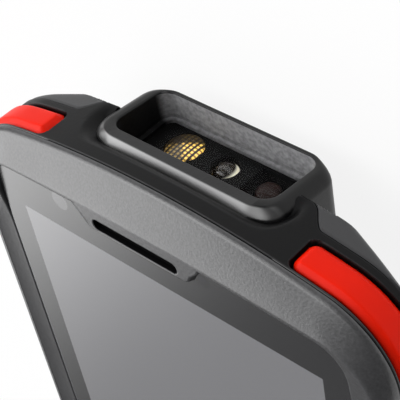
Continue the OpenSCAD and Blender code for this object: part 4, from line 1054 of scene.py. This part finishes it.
def glassRing(grow):
    # outline of the glass with its flatter arch, drawn larger
    halfW, high, low, corner = [glassSize[part] + grow for part in ("halfW", "high", "low", "corner")]
    return np.column_stack(outlineAt(glassPlan, halfW, high, low, glassSize["arch"], corner)[:2])


def tabAway(x, y):
    # distance to the tab's edge; its right flank flares out where it meets the rim
    right = tab["right"] + tab["flare"] * ramp(y, 67.2, 3.2)
    half = (tab["high"] - tab["low"]) / 2
    return roundBox(x - right + 30, y - tab["low"] - half, 30, half, tab["corner"])


def slotAway(x, y, less):
    # distance to the edge of the earpiece slot
    wide = tab["slotWide"]
    return roundBox(x - tab["slotX"], y - tab["slotY"], tab["slotHalf"], wide, wide - less)


def makeTab():
    # height field level with the rim: rounded at its lower and right edges, falling to the left, with a slot
    xs = gradedLines(-20.4, 13.6, 0.3, 0.09, [-10.9, 5.9, 8.2, 9.6, 11.2], 0.9)
    ys = gradedLines(65.9, 72.2, 0.25, 0.08, [66.5, 67.0, 69.0, 70.8], 0.6)
    x, y = np.meshgrid(xs, ys)
    away, size = tabAway(x, y), tab["round"]
    top = np.interp(y + x ** 2 / 1000, [65, 70.95, 71.3, 72.2], [26.003, 26.003, 25.8, 25.0])
    top = top - tab["rampFall"] * ramp(x, tab["ramp"] - tab["lean"] * ramp(y, 66.8, 3.4), -tab["rampRun"])
    edge = np.clip(-away / size, 0, 1)
    z = top - size * (1 - np.sqrt(1 - (1 - edge) ** 2))
    z = np.where(away > 0, top - size - 2.4 * np.clip(away, 0, 0.5), z)
    slot, bend = slotAway(x, y, 0.02), tab["slotEdge"]
    ease = np.clip((slot + 0.04) / bend, 0, 1)
    z -= np.where(slot < 0.12, bend * (1 - np.sqrt(1 - (1 - ease) ** 2)), 0)
    z = np.where(slot < -0.04, tab["slotFloor"] - 0.1, z)
    points = np.stack([x, y, z], axis=-1).reshape(-1, 3)
    faces = gridFaces(len(ys), len(xs), closed=False)
    x, y, _ = points[faces].mean(axis=1).T
    return points, faces[(slotAway(x, y, 0.15) >= -0.12) & (tabAway(x, y) <= 0.5)]


def railDrop(x, y):
    # how far the long rails fall from their crest towards the glass
    return 0.9 * ramp(np.abs(x), 38.3, -3.6) * ramp(np.abs(x), 32, 2) * ramp(y, -50, 8) * ramp(y, 66, -12)


def makeFrontFrame():
    # sides lofted from the seam over the crest, flat chin with key openings, lip down to the glass
    rings = []
    for halfW, end, arch, corner, z in planFrame():
        x, y, _, _ = outlineAt(plan, halfW, end, end, arch, corner)
        rings.append(np.stack([x, y, np.full(len(x), z)], axis=-1))
    rings.insert(0, rings[0] * [frameEdge["tuck"], frameEdge["tuck"], 1])
    crest = rings[-1][:, :2]
    inner = glassRing(glassSize["gap"])
    inner[:, 1] = np.minimum(inner[:, 1], crest[:, 1].max() - 0.02)
    places, triangles = plateFaces(crest, [inner] + [grownRing(shape, keyRim[0][0]) for shape in keyHoles])
    lip = []
    for grow, z in glassLip:
        ring = glassRing(grow)
        lip.append(atLevel(ring, np.maximum(z - railDrop(*ring.T), glassSize["foot"])))
    half, wide = tab["slotHalf"], tab["slotWide"]
    slot = rectStack([(half - less, wide - less, wide - less - 0.01, z)
                      for less, z in ((0.01, 25.86), (0.1, 25.7), (0.1, tab["slotFloor"]))],
                     flatPlace(tab["slotX"], tab["slotY"]), 10, False, True)
    # the slot's lining is near black: painted shade on its walls, and a dark mesh at its floor
    addPiece("slot_lining", [flipped(*slot)], "hole", [])
    parts = [stackRings(rings), (atLevel(places, frameEdge["top"] - railDrop(*places.T)), triangles),
             stackRings(lip), makeTab(), *[holeWall(shape, keyRim, False) for shape in keyHoles]]
    addPiece("front_shell", parts, "frame", ["front_frame"])


makeFrontFrame()
print("front frame")

# Touch glass: display area as middle and half size, then the spots as place, radius and shade
display = {"X": (0.0, 29.25), "Y": (9.03, 52.0)}
glassSpots = [((-19.2, 67.2), 1.65, (84, 84, 86)), ((9.4, 67.7), 1.5, (4, 4, 7)),
              ((9.4, 67.7), 0.7, (14, 13, 26))]


def makeScreenMaterial():
    # glossy dark glass; the display area behind it is a little paler, with sensor and camera spots beside it
    material = makeMaterial("coverGlass", (20, 20, 22), rough=0.26, spread=0.02, relief=0.02, grain=400,
                            gloss=1.0, mottle=0.02)
    tree = material.node_tree
    place = objectPlace(tree)
    parts = addNode(tree, "SeparateXYZ", {"Vector": place}).outputs
    bands = []
    for axis, (middle, half) in display.items():
        away = calc(tree, "ABSOLUTE", calc(tree, "SUBTRACT", parts[axis], middle * mm))
        bands.append(remap(tree, away, (half - 0.05) * mm, (half + 0.05) * mm, 1, 0))
    tone = mix(tree, times(tree, *bands), colour(30, 30, 32), colour(118, 118, 121))
    for spot, radius, shade in glassSpots:
        away = measure(tree, "DISTANCE", place, [part * mm for part in (*spot, glassSize["level"])])
        disc = remap(tree, away, (radius - 0.06) * mm, (radius + 0.06) * mm, 1, 0)
        tone = mix(tree, disc, tone, colour(*shade))
    tree.links.new(tone, tree.nodes["Principled BSDF"].inputs["Base Color"])
    return material


looks["screen"] = makeScreenMaterial()
glass = stackRings([atLevel(glassRing(grow), z) for grow, z in glassEdge], True, True)
addPiece("cover_glass", [glass], "screen", ["touch_glass"], keepSide=False)


# Bumpers and side keys: pads on the housing's side, as inset and height of each ring
def longRect(halfA, halfB, radius, corner, count):
    # rounded rectangle whose long sides carry points of their own
    right, left, lowLeft, lowRight = np.split(roundRect(halfA, halfB, radius, corner), 4)
    share = np.linspace(0, 1, count + 2)[1:-1, None]
    top = right[-1] + (left[0] - right[-1]) * share
    base = lowLeft[-1] + (lowRight[0] - lowLeft[-1]) * share
    return np.concatenate([right, top, left, lowLeft, base, lowRight])


def padOnWall(at, level, halfA, halfB, radius, insets, count):
    # closed pad round a run length and level of the outline, drawn in to a narrow middle
    rings = []
    for inset, out in insets:
        a, b = longRect(halfA - inset, halfB - inset, max(min(radius, halfB) - inset, 0), 8, count).T
        x, y, outX, outY = [np.interp(at + a, ringRun, part) for part in bodyRing]
        rings.append(np.stack([x + outX * out, y + outY * out, level + b], axis=-1))
    # the last ring has no height, so its sides meet
    points, faces = stackRings(rings)
    return points, faces + [list(range(len(rings[0])))[::-1]]


bumperInsets = [(0.0, -1.35), (0.0, -0.62), (0.02, -0.53), (0.08, -0.45), (0.4, -0.12), (0.72, 0.2),
                (0.82, 0.29), (0.96, 0.35), (1.2, 0.38), (1.6, 0.4), (2.1, 0.4), (2.5, 0.4)]
for side, name in ((1, "right_bumper"), (-1, "left_bumper")):
    at, half = bumperRun(side)
    pad = padOnWall(at, bumper["level"], half, bumper["half"], bumper["round"], bumperInsets, 90)
    addPiece(name + "_pad", [pad], "bumper", [name], keepSide=False)

keyInsets = [(0.0, -0.7), (0.0, 0.35), (0.03, 0.48), (0.12, 0.62), (0.26, 0.72), (0.45, 0.78), (0.7, 0.8),
             (1.1, 0.8), (1.8, 0.74), (2.3, 0.71), (2.5, 0.7)]
for name, side, centre, length in sideKeys:
    pad = padOnWall(runAtY(centre, side), keyShape["level"], length / 2, keyShape["half"],
                    keyShape["half"] - 0.02, keyInsets, 40)
    addPiece(name + "_cap", [pad], "key", [name], name, keepSide=False)

# Front keys: half sizes and radius, and the dished middle as half sizes, radius and depth
keyTop = (7.0, 3.75, 2.4)
keyDish = [(6.0, 2.75, 1.7, 0.0), (4.5, 1.6, 1.0, 0.12), (3.0, 0.6, 0.4, 0.16)]
for name, look, slot in (("back_key", "key", "key_plastic"), ("front_scan_key", "bumper", "orange_key"),
                         ("menu_key", "key", "key_plastic")):
    low, high, middle = nodeBox(name)
    sections = [(*keyTop, high[2] - 1.6), *roundedEdge(*keyTop, high[2], 0.5),
                *[(a, b, radius, high[2] - deep) for a, b, radius, deep in keyDish]]
    cap = rectStack(sections, flatPlace(*middle[:2]), 8)
    addPiece(name + "_cap", [cap], look, [name], name, keepSide=False)
print("bumpers and keys")

# Battery door with its ridges, ribs and knuckles; a ridge's sections start with their inset from its ends
door = {"half": 26.9, "low": -40.0, "high": 33.0, "round": 1.2, "outer": 0.3, "inner": 2.1, "edge": 0.35,
        "innerEdge": 0.15, "hingeY": -40.0, "hingeZ": 1.9, "knuckle": 1.6, "bend": 0.25, "groove": 0.2,
        "gaps": (-19.0, -6.5, 6.5, 19.0)}
ridge = {"count": 5, "half": 8.0, "step": 1.5, "y": 24.5,
         "sections": [(0.25, 0.1, 0.08, 0.1), (0.1, 0.26, 0.24, 0.15), (0, 0.36, 0.34, 0.32),
                      (0, 0.36, 0.34, 0.5)]}
rib = {"x": (-16.0, 0.0, 16.0), "y": -3.0,
       "sections": [(0.45, 30.0, 0.2, 2.0), (0.45, 30.0, 0.2, 2.35), (0.35, 29.9, 0.15, 2.4)]}


def makeDoor():
    # plate with rounded edges, ridges for the thumb, ribs inside and a row of knuckles turned round the hinge
    half = (door["high"] - door["low"]) / 2
    size = (door["half"], half, door["round"])
    sections = roundedEdge(*size, door["outer"], door["edge"], 6, -1)[::-1] \
        + roundedEdge(*size, door["inner"], door["innerEdge"], 4)
    parts = [rectStack(sections, flatPlace(0, door["low"] + half), 6)]
    sections = [(ridge["half"] - inset, b, radius, level) for inset, b, radius, level in ridge["sections"]]
    for step in range(ridge["count"]):
        parts.append(rectStack(sections, flatPlace(0, ridge["y"] + step * ridge["step"]), 5))
    for x in rib["x"]:
        parts.append(rectStack(rib["sections"], flatPlace(x, rib["y"]), 4))
    radius, end, bend = door["knuckle"], door["half"], door["bend"]
    low = radius - door["groove"]
    profile = [(0.001, -end), (radius - bend, -end), (radius, -end + bend)]
    for x in door["gaps"]:
        profile += [(radius, x - bend), (low, x - 0.12), (low, x + 0.12), (radius, x + bend)]
    profile += [(radius, end - bend), (radius - bend, end), (0.001, end)]
    return parts + [lathe(profile, (0, door["hingeY"], door["hingeZ"]), "x", 40)]


addSolid("door_panel", makeDoor(), "door", "battery_door", "battery_door")

# Battery pack: inset, radius and height of the shallow panel's edge, then the bar by the contacts
packPanel = [(2.6, 1.2, 0.18), (2.4, 1.4, 0.16), (2.2, 1.6, 0.04), (2.0, 1.8, 0)]
packBar = [(8.0, 1.0, 0.9, 0.06), (8.2, 1.2, 1.1, 0.12), (8.2, 1.2, 1.1, 0.4)]


def makePack():
    # block with rounded edges, a shallow panel on its outer face and a raised bar by the contacts
    low, high, middle = nodeBox("battery_pack")
    a, b = (high - low)[:2] / 2
    sections = [(a - inset, b - inset, radius, low[2] + rise) for inset, radius, rise in packPanel] \
        + roundedEdge(a, b, 1.6, low[2], 0.9, 6, -1)[::-1] + roundedEdge(a, b, 1.6, high[2], 0.9, 6)
    bar = [(*size, low[2] + rise) for *size, rise in packBar]
    return [rectStack(sections, flatPlace(*middle[:2]), 7),
            rectStack(bar, flatPlace(middle[0], high[1] - 6.0), 5)]


addSolid("battery_block", makePack(), "wrap", "battery_pack")

# Port cover
flap = {"half": 8.0, "low": 12.9, "round": 0.8, "edge": 0.3, "inset": 0.1, "hingeY": -76.9, "hingeZ": 18.15,
        "inner": -76.15, "outer": -77.65, "knuckle": 0.75, "bend": 0.15, "lipZ": 0.8,
        "lip": [(4.6, 0.08, 0.06, -77.92), (4.8, 0.24, 0.22, -77.86), (5.0, 0.36, 0.34, -77.6),
                (5.0, 0.36, 0.34, -77.4)]}


def makeFlap():
    # flap with rounded edges, a lip for the fingernail and a rod turned round its hinge
    middle, half = (flap["low"] + flap["hingeZ"]) / 2, (flap["hingeZ"] - flap["low"]) / 2
    size, inset = np.array([flap["half"], half, flap["round"]]), flap["inset"]
    sections = roundedEdge(*size, flap["outer"], flap["edge"], 5, -1)[::-1] \
        + [(*size, flap["inner"] - inset), (*(size - inset), flap["inner"])]
    radius, end, bend = flap["knuckle"], flap["half"], flap["bend"]
    tip = [(radius, end - bend), (radius - bend, end), (0.001, end)]
    rod = [(reach, -along) for reach, along in tip[::-1]] + tip
    return [rectStack(sections, endPlace(0, middle), 6),
            rectStack(flap["lip"], endPlace(0, flap["low"] + flap["lipZ"]), 5),
            lathe(rod, (0, flap["hingeY"], flap["hingeZ"]), "x", 28)]


addSolid("port_flap", makeFlap(), "flap", "port_cover", "port_cover")

# Camera, flash and contacts on the back: radius and depth from the outer face, kept within the solid's depth
paneProfile = [(0.001, 0.26), (0.8, 0.22), (1.3, 0.1), (1.42, 0.0), (1.72, 0.0), (1.84, 0.1), (3.2, 0.1),
               (3.42, 0.2), (3.5, 0.35), (3.5, 9), (0.001, 9)]
flashProfile = [(0.001, 0.1), (0.5, 0.08), (0.62, 0.2), (0.74, 0.06), (1.05, 0.04), (1.17, 0.16),
                (1.29, 0.02), (1.7, 0.0), (1.9, 0.08), (2.0, 0.22), (2.0, 9), (0.001, 9)]
pinProfile = [(0.4, 0.03), (0.7, 0.12), (0.92, 0.3), (1, 0.55), (1, 9)]


def makeRound(node, profile, count, spots=None):
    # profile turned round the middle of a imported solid, or round each of some spots along it
    low, high, middle = nodeBox(node)
    placed = [(radius, min(low[2] + height, high[2])) for radius, height in profile]
    return [lathe(placed, (x, middle[1], 0), "z", count) for x in ([middle[0]] if spots is None else spots)]


def makeContacts():
    # four domed pins in a row
    low, high, _ = nodeBox("charge_contacts")
    radius = (high[1] - low[1]) / 2
    profile = [(0.001, 0.0), *[(radius * share, height) for share, height in pinProfile], (0.001, 9)]
    return makeRound("charge_contacts", profile, 32, np.linspace(low[0] + radius, high[0] - radius, 4))


addSolid("camera_pane", makeRound("camera_window", paneProfile, 56), "lensBlack", "camera_window")
addSolid("flash_lens", makeRound("camera_flash", flashProfile, 56), "flash", "camera_flash")
addSolid("contact_pins", makeContacts(), "gold", "charge_contacts")
print("door, flap and back details")
